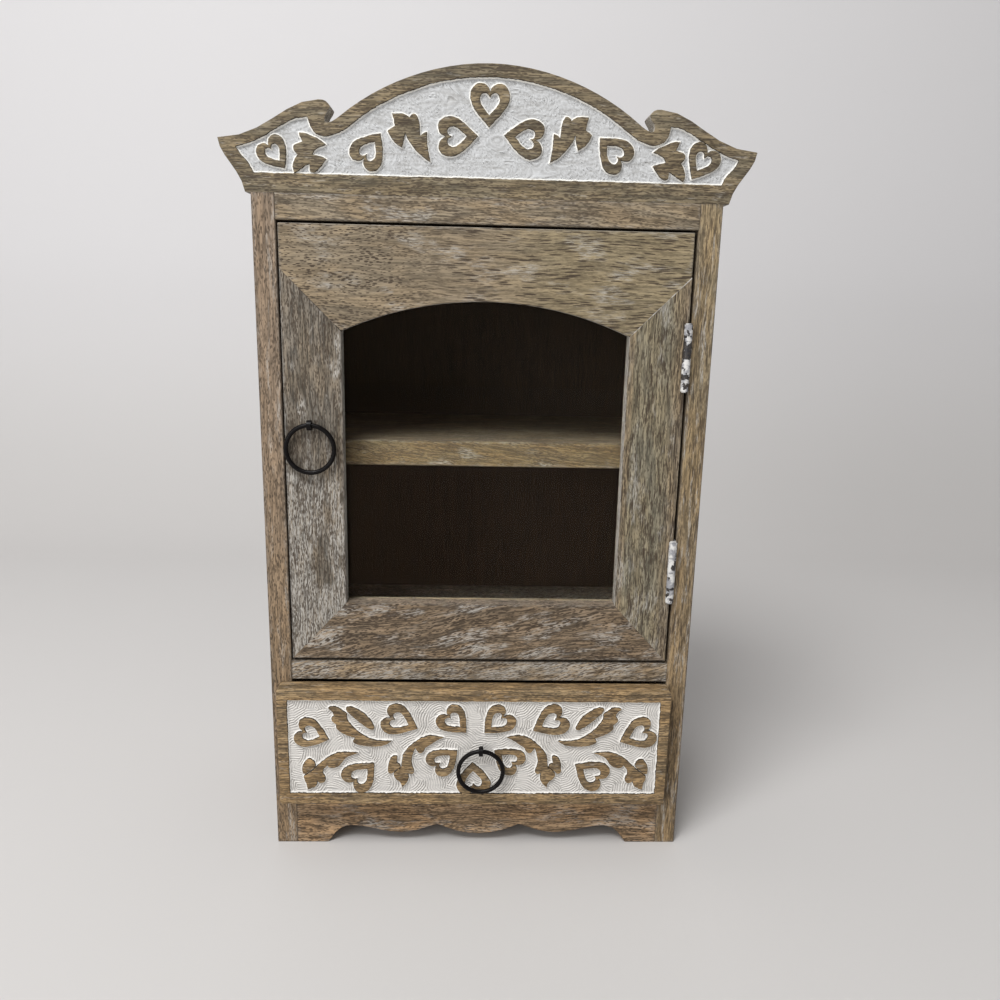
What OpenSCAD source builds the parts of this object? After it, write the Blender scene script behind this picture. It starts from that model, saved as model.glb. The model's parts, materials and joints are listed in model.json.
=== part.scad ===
// Table cabinet in whitewashed wood: a glazed door over one drawer, a scalloped
// apron, and a carved pediment on top. It stands on z = 0 and faces -Y.
// The carcass's front edges lie in one plane, and every y below counts from it.

/* [Carcass] */
// Width over the two side boards
body_w = 260; // [240:1:290]
// Depth of the side boards
body_d = 150; // [130:1:180]
// Height of the side boards
body_h = 401.5; // [385:0.5:440]
// Thickness of the side boards
side_t = 12.8; // [12:0.1:16]
// Thickness of the top board
top_t = 14; // [11:0.5:15]
// Height of the cupboard's floor
floor_z = 127.1; // [120:0.1:135]
// Thickness of the board between cupboard and drawer
divider_t = 12.3; // [10:0.1:14]
// Height of the shelf's upper face
shelf_z = 262.6; // [230:0.1:290]
// Thickness of the shelf
shelf_t = 15.6; // [12:0.1:20]
// How far the shelf's edge stands behind the cabinet's front
shelf_setback = 22; // [18:1:60]
// Thickness of the back panel
back_t = 4; // [3:0.5:6]
// How far the back panel laps each side board
back_lap = 7; // [5:0.5:9]
// Height of the drawer bay's floor
bay_z = 38; // [36:0.5:41]
// Thickness of the drawer bay's floor board
bottom_t = 12; // [9:0.5:14]

/* [Apron] */
// Thickness of the apron
apron_t = 13; // [10:0.5:16]
// Length of each foot
foot_l = 20; // [14:1:30]
// Height of the hollow beside each foot
shoulder_z = 12; // [10:0.5:15]
// Height of the low lobes
lobe_z = 7; // [5:0.5:9]
// Height of the two sharp peaks
peak_z = 13; // [11:0.5:16]
// Height of the middle lobe
mid_lobe_z = 6.3; // [4:0.1:8]

/* [Pediment] */
// Thickness of the pediment board
ped_t = 15; // [13:0.5:18]
// Width between its pointed ends
ped_w = 293; // [285:1:320]
// Rise of its middle above the side boards
ped_rise = 68; // [64:0.5:76]
// How far its foot stands past each side board
ped_overhang = 3; // [1:0.5:6]
// Height of the pointed ends above its foot
tip_z = 27.4; // [24:0.1:31]
// Distance of each scroll's crest from the middle
volute_x = 92.2; // [88:0.1:98]
// Height of each scroll's crest above its foot
volute_z = 47.7; // [44:0.1:51]
// Width of the plain border round the carving
border = 7; // [5:0.5:8]
// Width of the plain border under the carving
foot_border = 10; // [7:0.5:12]
// Depth of the carved ground below the motifs
relief = 1.6; // [0.8:0.1:2.5]

/* [Door] */
// Thickness of the door frame
door_t = 14; // [12:0.5:16]
// Width of the stiles
stile_w = 33.6; // [26:0.1:38]
// Height of the bottom rail
bottom_rail_h = 36.4; // [30:0.1:45]
// Height of the top rail's ends
top_rail_h = 57.9; // [52:0.1:65]
// Rise of the arch over the glass
arch_rise = 17.8; // [12:0.1:19]
// Gap over the door
gap_top = 1.5; // [1:0.5:4]
// Gap under the door
gap_bottom = 1.8; // [1:0.1:3]
// Gap on the ring's side
gap_latch = 1; // [1:0.1:3]
// Depth from the door's face to the glass
glass_set = 9; // [7:0.5:9]
// Thickness of the glass
glass_t = 2; // [1.5:0.1:2.5]
// How far the glass laps the frame
glass_lap = 5; // [4:0.5:6]
// Width of the strips that hold the glass
bead_w = 4.4; // [3:0.2:6]

/* [Hinges] */
// Length of a hinge
hinge_l = 38; // [34:1:44]
// Thickness of a leaf
leaf_t = 0.8; // [0.6:0.1:1.2]
// Depth of a leaf behind the cabinet's front
leaf_d = 11.5; // [11:0.5:12]
// Play between the closed leaves
leaf_play = 0.2; // [0.15:0.05:0.4]
// Diameter of the knuckles
knuckle_d = 4.8; // [4.2:0.1:5.6]
// Diameter of the pin
hinge_pin_d = 2.4; // [2:0.1:2.8]
// Number of knuckles
knuckles = 4; // [3:1:6]
// Distance from the door's top to the upper hinge's middle
hinge_drop = 69; // [50:1:90]
// Distance from the door's foot to the lower hinge's middle
hinge_lift = 59; // [40:1:80]

/* [Drawer] */
// Thickness of the drawer's carved front
front_t = 12; // [10:0.5:14]
// Width of the carved front
front_w = 243.2; // [236:0.2:250]
// Height of the carved front
front_h = 78.1; // [74:0.1:79]
// Height of the carved front's foot above the table
front_z = 35.4; // [34:0.1:35.8]
// How far the front hangs to the left of the middle
front_shift = 3.3; // [0:0.1:5]
// Width of the front's end borders
end_border = 6.4; // [5:0.2:9]
// Width of the border above the carving
head_border = 7; // [5:0.2:9]
// Width of the border under the carving
sill_border = 7.6; // [5:0.2:9]
// Thickness of the drawer's sides, back and inner front
box_t = 8; // [6:0.5:10]
// Height of the drawer box
box_h = 66; // [60:1:70]
// Thickness of the drawer's bottom
tray_t = 3; // [2:0.5:4]
// Depth of the grooves that hold the bottom
groove_d = 4; // [3:0.5:5]
// Height of the bottom above the box's lower edge
groove_z = 4; // [3:0.5:6]
// Play on each side of the drawer box
box_play = 0.8; // [0.5:0.1:1.5]
// Play behind the drawer box
box_back_play = 5; // [2:1:20]

/* [Pulls] */
// Outer diameter of the rings
ring_d = 30.5; // [26:0.5:36]
// Thickness of the rings' wire
ring_wire = 2.7; // [2.2:0.1:3.4]
// Thickness of the split pins' loops
loop_t = 1.3; // [1:0.1:1.6]
// Width of the split pins' loops
loop_w = 2.6; // [2:0.1:3]
// Play of the ring in its loop
loop_play = 0.35; // [0.3:0.05:0.6]
// Length of a split pin's bent tail
tail_l = 8; // [5:0.5:12]
// Height of the door ring's pivot
door_pull_z = 274.5; // [260:0.5:300]
// Distance of the door ring from the door's edge
door_pull_in = 14.8; // [11:0.1:16]
// Height of the drawer ring's pivot above the front's foot
drawer_pull_up = 39; // [34:0.5:46]
// Distance of the drawer ring to the right of the middle
drawer_pull_x = 0.8; // [-4:0.2:4]

/* [Fastenings] */
// Length of the brads through the side boards
brad_l = 34; // [28:1:38]
// Diameter of the brads
brad_d = 1.6; // [1.2:0.1:2]
// Length of the small wood screws
screw_l = 10; // [8:0.5:11]
// Diameter of the small wood screws
screw_d = 1.9; // [1.6:0.1:2.2]
// Diameter of the small screws' heads
screw_head_d = 4; // [3.4:0.1:4.4]
// Length of the screws up into the pediment
ped_screw_l = 30; // [26:1:34]
// Length of the screws into the drawer's front
front_screw_l = 15; // [13:0.5:16]
// Length of the pins in the glass strips
bead_pin_l = 9; // [7:0.5:11]
// Number of tacks down each edge of the back panel
back_tacks_n = 5; // [3:1:8]

/* [Catch] */
// Height of the magnetic catch
catch_z = 304; // [296:1:330]
// Length of the catch's case
catch_l = 22; // [18:1:26]
// Width of the catch's case
catch_w = 10; // [8:0.5:12]
// Depth of the catch's case
catch_d = 14; // [10:0.5:18]
// Thickness of the strike plate
strike_t = 0.8; // [0.6:0.1:1.2]
// Gap between strike plate and magnet
catch_gap = 0.4; // [0.3:0.1:0.8]

/* [Hidden] */
$fn = 48;

// Clearances, each between the two pieces that it names
fit = 0.2;            // panels in their rabbets and grooves
fastener_play = 0.03; // nails and screws in their holes, on the radius
pin_play = 0.05;      // hinge pin in its knuckles, on the radius
knuckle_play = 0.2;   // between neighbouring knuckles
barrel_play = 0.2;    // knuckles in front of the door's face
front_play = 0.4;     // drawer front before the carcass
slide_play = 0.3;     // drawer box above its floor
loop_neck = 0.2;      // split pin's loop before the wood
over = 1;             // how far a cut passes the face that it opens

// Carcass
inner_x = body_w / 2 - side_t;
board_d = body_d - back_t;
top_z = body_h - top_t;
divider_z = floor_z - divider_t;
bottom_z = bay_z - bottom_t;

// Door
hinge_gap = 2 * leaf_t + leaf_play;
door_x0 = -inner_x + gap_latch;
door_x1 = inner_x - hinge_gap;
door_z0 = floor_z + gap_bottom;
door_z1 = top_z - gap_top;
win_x0 = door_x0 + stile_w;
win_x1 = door_x1 - stile_w;
win_z0 = door_z0 + bottom_rail_h;
win_z1 = door_z1 - top_rail_h;
rabbet_x0 = win_x0 - glass_lap;
rabbet_x1 = win_x1 + glass_lap;
rabbet_z0 = win_z0 - glass_lap;
rabbet_z1 = win_z1 + arch_rise + glass_lap;
bead_y = glass_set + glass_t;
arch_r = (pow((win_x1 - win_x0) / 2, 2) + pow(arch_rise, 2)) / (2 * arch_rise);

// Hinges
pin_x = inner_x - knuckle_d / 2;
pin_y = -knuckle_d / 2 - barrel_play;
upper_hinge_z = door_z1 - hinge_drop;
lower_hinge_z = door_z0 + hinge_lift;
knuckle_l = hinge_l / knuckles;
hinge_screw_y = 0.54 * leaf_d;
hinge_screw_dz = 0.29 * hinge_l;
pin_head_h = 0.6;
pin_head_d = 1.5 * hinge_pin_d;

// Rings and split pins
loop_r = ring_wire / 2 + loop_play + loop_t;
ring_r = (ring_d - ring_wire) / 2;
pull_out = loop_neck + loop_r;
shank_r = 1.2;
tail_r = 0.7;
door_pull_x = door_x0 + door_pull_in;
drawer_pull_z = front_z + drawer_pull_up;

// Drawer
front_y0 = -front_play - front_t;
front_x0 = -front_shift - front_w / 2;
box_x = inner_x - box_play;
box_z0 = bay_z + slide_play;
box_z1 = box_z0 + box_h;
box_y1 = board_d - box_back_play;
tray_z = box_z0 + groove_z;
edge_round = 2.5;
screw_head_h = 1.1;

// The foremost point is the drawer's loop, and the hindmost the side boards
reach = front_play + front_t + pull_out + loop_r;
front_y = (reach - body_d) / 2;

// ---- Outlines ----

// Points of a Bezier curve in n steps, without its last point
function curve(a, b, c, d, n = 6) =
    [for (i = [0:n - 1]) let (t = i / n, u = 1 - t)
        u * u * u * a + 3 * u * u * t * b + 3 * u * t * t * c + t * t * t * d];
// The same outline on the other side of the middle, walked backwards
function flipped(points) =
    [for (i = [len(points) - 1:-1:0]) [-points[i][0], points[i][1]]];

// Right half of a heart one unit wide, from its cleft to above its point
heart_half = concat(
    curve([0, 0.3], [0.05, 0.54], [0.36, 0.6], [0.46, 0.34], 5),
    curve([0.46, 0.34], [0.58, 0.08], [0.25, -0.24], [0, -0.5], 5));
heart_tip = [[0, -0.5]];
heart_side = [for (i = [1:len(heart_half) - 1]) heart_half[i]];
heart_outline = concat(heart_half, heart_tip, flipped(heart_side));
heart_hole = 0.52;    // the hollow's share of the heart's size
heart_hole_up = 0.03; // how far the hollow sits above the middle

module heart(size, turn) {
    rotate(turn)
        difference() {
            scale(size) polygon(heart_outline);
            translate([0, heart_hole_up * size])
                scale(size * heart_hole) polygon(heart_outline);
        }
}

// A closed outline that bends past its points; a third value makes a point a corner
bend_steps = 3;
function is_corner(p) = len(p) > 2;
function spot(p) = [p[0], p[1]];
function reached(p, q) = is_corner(q) ? spot(q) : (spot(p) + spot(q)) / 2;
function bent(points, n) =
    [for (i = [0:n - 1], k = [0:bend_steps - 1])
        let (p = points[i], before = points[(i + n - 1) % n], after = points[(i + 1) % n],
             t = k / bend_steps, u = 1 - t)
        if (k > 0 ? !is_corner(p) : (is_corner(p) || !is_corner(before)))
            is_corner(p) ? spot(p) :
            u * u * reached(p, before) + 2 * u * t * spot(p) + t * t * reached(p, after)];

// Leaf sprays, each a list of such outlines, clockwise from the upper left
end_spray = [
    [[-5.4, 10, 1], [-2.4, 9.9], [1.8, 8.2], [5.6, 6.9], [8.8, 4.3, 1], [5, 3], [2.8, 1.6],
     [1.4, -1, 1], [5.4, -1.2], [8.8, -3, 1], [7.2, -5.4], [3.6, -9.4], [1, -10],
     [-0.4, -8.8], [0, -5.4, 1], [-2.4, -6.4], [-5.6, -8.9], [-8.4, -10.4, 1], [-9.6, -8],
     [-8.4, -3.6], [-6.6, -1, 1], [-8.3, 0.6], [-8.8, 3.4], [-6, 4.8], [-3, 5.6, 1],
     [-4.8, 7.8]]];
arch_spray = [
    [[-9.4, 11.3, 1], [-4.4, 11.5], [-1.6, 10.6], [-0.2, 9.3, 1], [1, 11], [3, 11.4],
     [4.6, 8.2], [5.2, 3.6], [5.4, -0.1, 1], [6.6, 1.5], [8.9, 2.3, 1], [9.2, -1.6],
     [9.4, -6], [10.9, -12.4, 1], [7, -10.4], [2, -5.6], [-1.6, -0.8], [-2.6, 2.4, 1],
     [-3.1, -1], [-4.4, -5.6, 1], [-7.6, -4], [-10.8, 0.4], [-11.6, 2.3, 1], [-10, 3.8],
     [-7.9, 4.9, 1], [-8.5, 7.6]]];
feather_spray = [
    [[-18.8, 12.2], [-16.8, 13.4], [-12.8, 13.4], [-9.6, 10.9], [-7, 9, 1], [-7.5, 6.2],
     [-5.4, 2.2], [-1, -2.8], [5, -7.4], [12, -9.9], [20.4, -9.6, 1], [16.4, -12.8],
     [9, -13.6], [1, -12.8], [-3.6, -10.9], [-3.2, -8.8], [-2, -7.7, 1], [-7.2, -6.1],
     [-12, -2.9], [-14.2, -0.6], [-13.2, 1.4, 1], [-15.8, 3], [-16.6, 5.8], [-14.8, 7.1, 1],
     [-15.4, 10.2]],
    [[-7.6, 11.2], [-6.6, 13.4], [-3, 13.4], [3.2, 9.6], [7.6, 4.6], [10.2, -1], [8.4, -2.6],
     [4.2, 0], [-3.2, 6.4]]];
branch_spray = [
    [[18.6, 12.5, 1], [12, 10], [9.9, 7.9], [7.6, 4], [3.6, 1.8], [0.6, 2.2], [-0.6, 3.9, 1],
     [-3.2, 1.4], [-3.7, -1.8], [-2.2, -3.4], [-1.8, -6.8], [-3.6, -8.6], [-6, -8],
     [-7.2, -6.4, 1], [-7.2, -9.8], [-9.6, -12], [-13.3, -13.1, 1], [-13.5, -9.2],
     [-15, -6.4], [-15.6, -3.6], [-12.8, -2], [-9.8, 0.2], [-6.2, 3.9], [-0.4, 9.4],
     [6.4, 12.9], [13, 13.2]],
    [[-11.6, 9], [-8.4, 6.4], [-7.8, 3], [-11.6, 0], [-14.2, -2.4], [-16.4, -1.4],
     [-16, 3.4], [-13.8, 7]]];
crook_spray = [
    [[17.8, 16.8, 1], [13.4, 14.6], [9, 11.2], [6.2, 9.4], [5.6, 6.6], [2, 5.6], [0.2, 9.4, 1],
     [-1.2, 6.4], [-2.4, 1], [-1.8, -3.4], [-0.2, -6.6], [-1.6, -9.2], [-4.4, -7.8, 1],
     [-3.6, -11], [-5.2, -15.2], [-8.2, -18, 1], [-8.3, -14.4], [-12, -12.4],
     [-13.6, -9], [-11, -5.4], [-8.4, -3.4, 1], [-7.9, 1.8], [-6.6, 6.6], [-1.4, 12.2],
     [4.4, 17], [11.4, 18.5]],
    [[-11.2, 4.8], [-11, 1.4], [-11.7, -0.8, 1], [-9.2, -1], [-8.9, -3.8, 1], [-12, -5.4],
     [-14.2, -8.4], [-17, -8.2], [-16.8, -2.2], [-14.8, 3.4]]];

module spray(outlines, flip) {
    mirror([flip, 0])
        for (points = outlines) polygon(bent(points, len(points)));
}

// Places of the motifs, as shares of half the panel's width and of its height
// Pediment hearts: across, up, size and turn
ped_hearts = [
    [-0.793, 0.287, 17, 36], [-0.443, 0.349, 19.2, 145], [-0.119, 0.46, 21, 92],
    [-0.005, 0.694, 21.7, -1], [0.122, 0.46, 21, -97], [0.456, 0.379, 19.8, -133],
    [0.791, 0.309, 18.6, -29]];
// Pediment sprays: across, up, kind and whether flipped
ped_sprays = [
    [-0.666, 0.307, end_spray, 0], [-0.297, 0.45, arch_spray, 0],
    [0.297, 0.462, arch_spray, 1], [0.67, 0.319, end_spray, 1]];
// Drawer hearts and sprays, measured from the panel's middle
drawer_hearts = [
    [-0.866, 0.275, 20.7, 71], [-0.395, 0.552, 21.7, 66], [-0.106, 0.553, 19.9, 45],
    [0.118, 0.551, 20.4, -46], [0.402, 0.549, 21.9, -61], [0.88, 0.296, 22, -65],
    [-0.608, -0.579, 21.7, 136], [-0.16, -0.257, 19.8, 130], [-0.003, -0.655, 22, 183],
    [0.179, -0.236, 19.7, -127], [0.633, -0.539, 21.7, -123]];
drawer_sprays = [
    [-0.623, 0.449, feather_spray, 0], [0.632, 0.462, feather_spray, 1],
    [-0.789, -0.509, branch_spray, 0], [0.813, -0.49, branch_spray, 1],
    [-0.321, -0.301, crook_spray, 0], [0.329, -0.291, crook_spray, 1]];

// Half outline of the pediment, from its foot to its crown
ped_foot = [body_w / 2 + ped_overhang, 0];
ped_tip = [ped_w / 2, tip_z];
volute = [volute_x, volute_z];
nose = volute + [-6.2, -3.3];
notch = volute + [-3.4, -11];
arch_start = volute + [-11.4, -7.8];
crown = [0, ped_rise];
ped_half = concat(
    curve(ped_foot, ped_foot + [2, 12], ped_tip - [0.5, 9.4], ped_tip),
    curve(ped_tip, ped_tip + [-25.5, 0.6], volute + [18.8, -0.4], volute),
    curve(volute, volute + [-3.7, 0.3], volute + [-5, -1.2], nose, 4),
    curve(nose, nose + [0.3, -2.4], notch + [1.4, 3.3], notch, 4),
    curve(notch, notch + [-1.8, -1.2], arch_start + [3.2, -2.4], arch_start, 4),
    curve(arch_start, arch_start + [-21, 16.6], crown + [30, 0], crown, 12));

// Half outline of the recessed ground, inside the borders
ground_foot = [ped_foot[0] - 0.7 * border, foot_border];
ground_tip = ped_tip - [1.33 * border, 0.62 * border];
ground_volute = volute + [0.83 * border, -1.19 * border];
ground_notch = notch + [0.2, -1.04 * border];
ground_arch = notch + [-1.9 * border, -0.2 * border];
ground_crown = crown - [0, 0.94 * border];
ground_half = concat(
    curve(ground_foot, ground_foot + [1.5, 5], ground_tip - [2.5, 5.5], ground_tip, 4),
    curve(ground_tip, ground_tip + [-18, 4], ground_volute + [12, -0.2], ground_volute),
    curve(ground_volute, ground_volute - [1, 5], ground_notch + [7, 0.6], ground_notch, 5),
    curve(ground_notch, ground_notch + [-4, 0.6], ground_arch + [4.5, -3.3], ground_arch, 4),
    curve(ground_arch, ground_arch + [-19.5, 15.7], ground_crown + [28, 0], ground_crown, 12));

// Half outline of the apron's scallops, from foot to middle
arch_half = inner_x - foot_l;
apron_foot = [arch_half, 0];
shoulder = [0.835 * arch_half, shoulder_z];
lobe = [0.52 * arch_half, lobe_z];
peak = [0.275 * arch_half, peak_z];
mid_lobe = [0, mid_lobe_z];
apron_half = concat(
    curve(apron_foot, apron_foot + [-5, 0.66 * shoulder_z], shoulder + [8, 0], shoulder),
    curve(shoulder, shoulder - [10, 0], lobe + [12, 0], lobe),
    curve(lobe, lobe - [10, 0], peak + [8.6, -2.5], peak),
    curve(peak, peak + [-8.4, -3.5], mid_lobe + [12, 0], mid_lobe));

// ---- Shared shapes ----

module at_front() translate([0, front_y, 0]) children();
module block(x0, x1, y0, y1, z0, z1)
    translate([x0, y0, z0]) cube([x1 - x0, y1 - y0, z1 - z0]);
// A flat outline drawn as seen from the front, made a slab from y0 back to y1
module slab(y0, y1)
    translate([0, y1, 0]) rotate([90, 0, 0]) linear_extrude(y1 - y0) children();
// Turns a shape that runs along +Z so that it runs along the named way
module towards(way)
    rotate(way == "+x" ? [0, 90, 0] : way == "-x" ? [0, -90, 0] :
           way == "+y" ? [-90, 0, 0] : way == "-y" ? [90, 0, 0] : [0, 0, 0])
        children();

// A brad along +Z with its head's face at the origin
module brad(l, d, grow = 0) {
    head_h = 0.6 * d;
    translate([0, 0, -grow]) cylinder(d = 1.7 * d + 2 * grow, h = head_h + grow);
    translate([0, 0, head_h]) cylinder(d = d + 2 * grow, h = l - head_h + grow);
}
// A countersunk screw along +Z with its head's face at the origin
module screw(l, d, head_d, grow = 0) {
    rotate_extrude()
        polygon([[0, -grow], [head_d / 2 + grow, -grow], [head_d / 2 + grow, 0],
                 [d / 2 + grow, screw_head_h], [d / 2 + grow, l - d], [0, l + grow]]);
}

// ---- Fastenings and the holes that they fill ----

side_brad_in = 20;
side_brad_ys = [shelf_setback + side_brad_in, board_d - side_brad_in];
side_brad_zs = [body_h - top_t / 2, shelf_z - shelf_t / 2,
                floor_z - divider_t / 2, bay_z - bottom_t / 2];
apron_brad_zs = [0.5 * bay_z, 0.8 * bay_z];
module side_brad_set(grow = 0) {
    for (side = [0, 1]) mirror([side, 0, 0]) {
        for (y = side_brad_ys, z = side_brad_zs)
            translate([-body_w / 2, y, z]) towards("+x") brad(brad_l, brad_d, grow);
        for (z = apron_brad_zs)
            translate([-body_w / 2, apron_t / 2, z]) towards("+x") brad(brad_l, brad_d, grow);
    }
}

tack_l = 13;
tack_d = 1.4;
tack_in = 12;
tack_x = inner_x + back_lap / 2;
tack_z0 = bottom_z + tack_in;
tack_z1 = body_h - tack_in;
cross_tack_x = inner_x / 2;
module back_tack_set(grow = 0) {
    for (side = [-1, 1]) {
        for (i = [0:back_tacks_n - 1])
            translate([side * tack_x, body_d,
                       tack_z0 + (tack_z1 - tack_z0) * i / (back_tacks_n - 1)])
                towards("-y") brad(tack_l, tack_d, grow);
        for (z = side_brad_zs)
            translate([side * cross_tack_x, body_d, z]) towards("-y") brad(tack_l, tack_d, grow);
    }
}

ped_screw_d = 3.2;
ped_screw_head_d = 6.4;
ped_screw_x = 0.62 * inner_x;
module ped_screw_set(grow = 0) {
    for (x = [-ped_screw_x, 0, ped_screw_x])
        translate([x, ped_t / 2, top_z]) screw(ped_screw_l, ped_screw_d, ped_screw_head_d, grow);
}

module frame_screw_set(grow = 0) {
    for (z = [upper_hinge_z, lower_hinge_z], side = [-1, 1])
        translate([inner_x - leaf_t, hinge_screw_y, z + side * hinge_screw_dz])
            towards("+x") screw(screw_l, screw_d, screw_head_d, grow);
}
module door_screw_set(grow = 0) {
    for (z = [upper_hinge_z, lower_hinge_z], side = [-1, 1])
        translate([door_x1 + leaf_t, hinge_screw_y, z + side * hinge_screw_dz])
            towards("-x") screw(screw_l, screw_d, screw_head_d, grow);
}

catch_ear_l = 7;
catch_ear_t = 3;
catch_y = door_t + strike_t + catch_gap;
module catch_screw_set(grow = 0) {
    for (side = [-1, 1])
        translate([-inner_x + catch_ear_t, catch_y + catch_d / 2,
                   catch_z + side * (catch_l + catch_ear_l) / 2])
            towards("-x") screw(screw_l, screw_d, screw_head_d, grow);
}
strike_w = 9;
strike_x = -inner_x + 0.65 * catch_w;
strike_screw_dz = 0.36 * catch_l;
module strike_screw_set(grow = 0) {
    for (side = [-1, 1])
        translate([strike_x, door_t + strike_t, catch_z + side * strike_screw_dz])
            towards("-y") screw(screw_l, screw_d, screw_head_d, grow);
}

bead_pin_d = 0.9;
bead_pin_y = (bead_y + door_t) / 2;
bead_pin_in = 45;
module bead_pin_set(grow = 0) {
    for (z = [rabbet_z0 + bead_pin_in, rabbet_z1 - bead_pin_in]) {
        translate([rabbet_x0 + bead_w, bead_pin_y, z]) towards("-x") brad(bead_pin_l, bead_pin_d, grow);
        translate([rabbet_x1 - bead_w, bead_pin_y, z]) towards("+x") brad(bead_pin_l, bead_pin_d, grow);
    }
    for (x = [rabbet_x0 + bead_pin_in, rabbet_x1 - bead_pin_in]) {
        translate([x, bead_pin_y, rabbet_z1 - bead_w]) brad(bead_pin_l, bead_pin_d, grow);
        translate([x, bead_pin_y, rabbet_z0 + bead_w])
            mirror([0, 0, 1]) brad(bead_pin_l, bead_pin_d, grow);
    }
}

box_brad_l = 22;
box_brad_d = 1.2;
module drawer_brad_set(grow = 0) {
    for (side = [0, 1]) mirror([side, 0, 0])
        for (y = [-front_play + box_t / 2, box_y1 - box_t / 2], up = [0.3, 0.75])
            translate([-box_x, y, box_z0 + up * box_h])
                towards("+x") brad(box_brad_l, box_brad_d, grow);
    for (x = [-0.6 * box_x, 0, 0.6 * box_x])
        translate([x, box_y1 - box_t / 2, tray_z]) brad(box_brad_l, box_brad_d, grow);
}
module drawer_screw_set(grow = 0) {
    for (x = [-0.75 * box_x, 0.75 * box_x], up = [0.25, 0.8])
        translate([x, -front_play + box_t, box_z0 + up * box_h])
            towards("-y") screw(front_screw_l, screw_d, screw_head_d, grow);
}

// ---- Carcass ----

module left_side() {
    color("tan") at_front() difference() {
        block(-body_w / 2, -inner_x, 0, body_d, 0, body_h);
        block(-inner_x - back_lap, -inner_x + over, board_d, body_d + over,
              -over, body_h + over);
        side_brad_set(fastener_play);
        back_tack_set(fastener_play);
        catch_screw_set(fastener_play);
    }
}

module right_side() {
    color("tan") at_front() difference() {
        block(inner_x, body_w / 2, 0, body_d, 0, body_h);
        block(inner_x - over, inner_x + back_lap, board_d, body_d + over,
              -over, body_h + over);
        side_brad_set(fastener_play);
        back_tack_set(fastener_play);
        frame_screw_set(fastener_play);
    }
}

// A board between the sides, from y0 back to the back panel
module cross_board(y0, z0, z1) {
    difference() {
        block(-inner_x, inner_x, y0, board_d, z0, z1);
        side_brad_set(fastener_play);
        back_tack_set(fastener_play);
    }
}

module top_board() {
    color("tan") at_front() difference() {
        cross_board(0, top_z, body_h);
        ped_screw_set(fastener_play);
    }
}

module divider_board() {
    color("tan") at_front() cross_board(0, divider_z, floor_z);
}

module shelf() {
    color("tan") at_front() cross_board(shelf_setback, shelf_z - shelf_t, shelf_z);
}

module bottom_board() {
    color("tan") at_front() cross_board(apron_t, bottom_z, bay_z);
}

module back_panel() {
    color("burlywood") at_front() difference() {
        block(-inner_x - back_lap + fit, inner_x + back_lap - fit, board_d, body_d,
              bottom_z, body_h);
        back_tack_set(fastener_play);
    }
}

module apron() {
    color("tan") at_front() difference() {
        slab(0, apron_t)
            polygon(concat([[inner_x, 0]], apron_half, [mid_lobe], flipped(apron_half),
                           [[-inner_x, 0], [-inner_x, bay_z], [inner_x, bay_z]]));
        side_brad_set(fastener_play);
    }
}

module motifs(hearts, sprays, half_w, h) {
    for (m = hearts) translate([m[0] * half_w, m[1] * h]) heart(m[2], m[3]);
    for (m = sprays) translate([m[0] * half_w, m[1] * h]) spray(m[2], m[3]);
}

module pediment() {
    color("tan") at_front() difference() {
        translate([0, 0, body_h]) difference() {
            slab(0, ped_t) polygon(concat(ped_half, [crown], flipped(ped_half)));
            slab(-over, relief) difference() {
                polygon(concat(ground_half, [ground_crown], flipped(ground_half)));
                motifs(ped_hearts, ped_sprays, ped_w / 2, ped_rise);
            }
        }
        ped_screw_set(fastener_play);
    }
}

module pediment_screws() {
    color("silver") at_front() ped_screw_set();
}

module side_brads() {
    color("silver") at_front() side_brad_set();
}

module back_tacks() {
    color("silver") at_front() back_tack_set();
}

// ---- Hinges ----

// One leaf with its share of the knuckles: share 0 is the frame's, 1 the door's
module hinge_leaf(x0, share, z) {
    difference() {
        translate([0, 0, z]) union() {
            block(x0, x0 + leaf_t, barrel_play / 2, leaf_d, -hinge_l / 2, hinge_l / 2);
            for (i = [share:2:knuckles - 1])
                translate([0, 0, i * knuckle_l - hinge_l / 2 + knuckle_play / 2]) {
                    translate([pin_x, pin_y, 0])
                        cylinder(d = knuckle_d, h = knuckle_l - knuckle_play);
                    block(x0, x0 + leaf_t, pin_y, 1, 0, knuckle_l - knuckle_play);
                }
        }
        translate([pin_x, pin_y, z - hinge_l])
            cylinder(r = hinge_pin_d / 2 + pin_play, h = 2 * hinge_l);
        if (share == 0) frame_screw_set(fastener_play);
        else door_screw_set(fastener_play);
    }
}

module hinge_pin(z) {
    translate([pin_x, pin_y, z]) {
        cylinder(d = hinge_pin_d, h = hinge_l + 2 * pin_head_h, center = true);
        for (side = [-1, 1])
            translate([0, 0, side * (hinge_l + pin_head_h) / 2])
                cylinder(d = pin_head_d, h = pin_head_h, center = true);
    }
}

module upper_hinge_frame_leaf() {
    color("ivory") at_front() hinge_leaf(inner_x - leaf_t, 0, upper_hinge_z);
}

module lower_hinge_frame_leaf() {
    color("ivory") at_front() hinge_leaf(inner_x - leaf_t, 0, lower_hinge_z);
}

module upper_hinge_door_leaf() {
    color("ivory") at_front() hinge_leaf(door_x1, 1, upper_hinge_z);
}

module lower_hinge_door_leaf() {
    color("ivory") at_front() hinge_leaf(door_x1, 1, lower_hinge_z);
}

module upper_hinge_pin() {
    color("gray") at_front() hinge_pin(upper_hinge_z);
}

module lower_hinge_pin() {
    color("gray") at_front() hinge_pin(lower_hinge_z);
}

module frame_hinge_screws() {
    color("ivory") at_front() frame_screw_set();
}

module door_hinge_screws() {
    color("ivory") at_front() door_screw_set();
}

// ---- Magnetic catch ----

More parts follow.
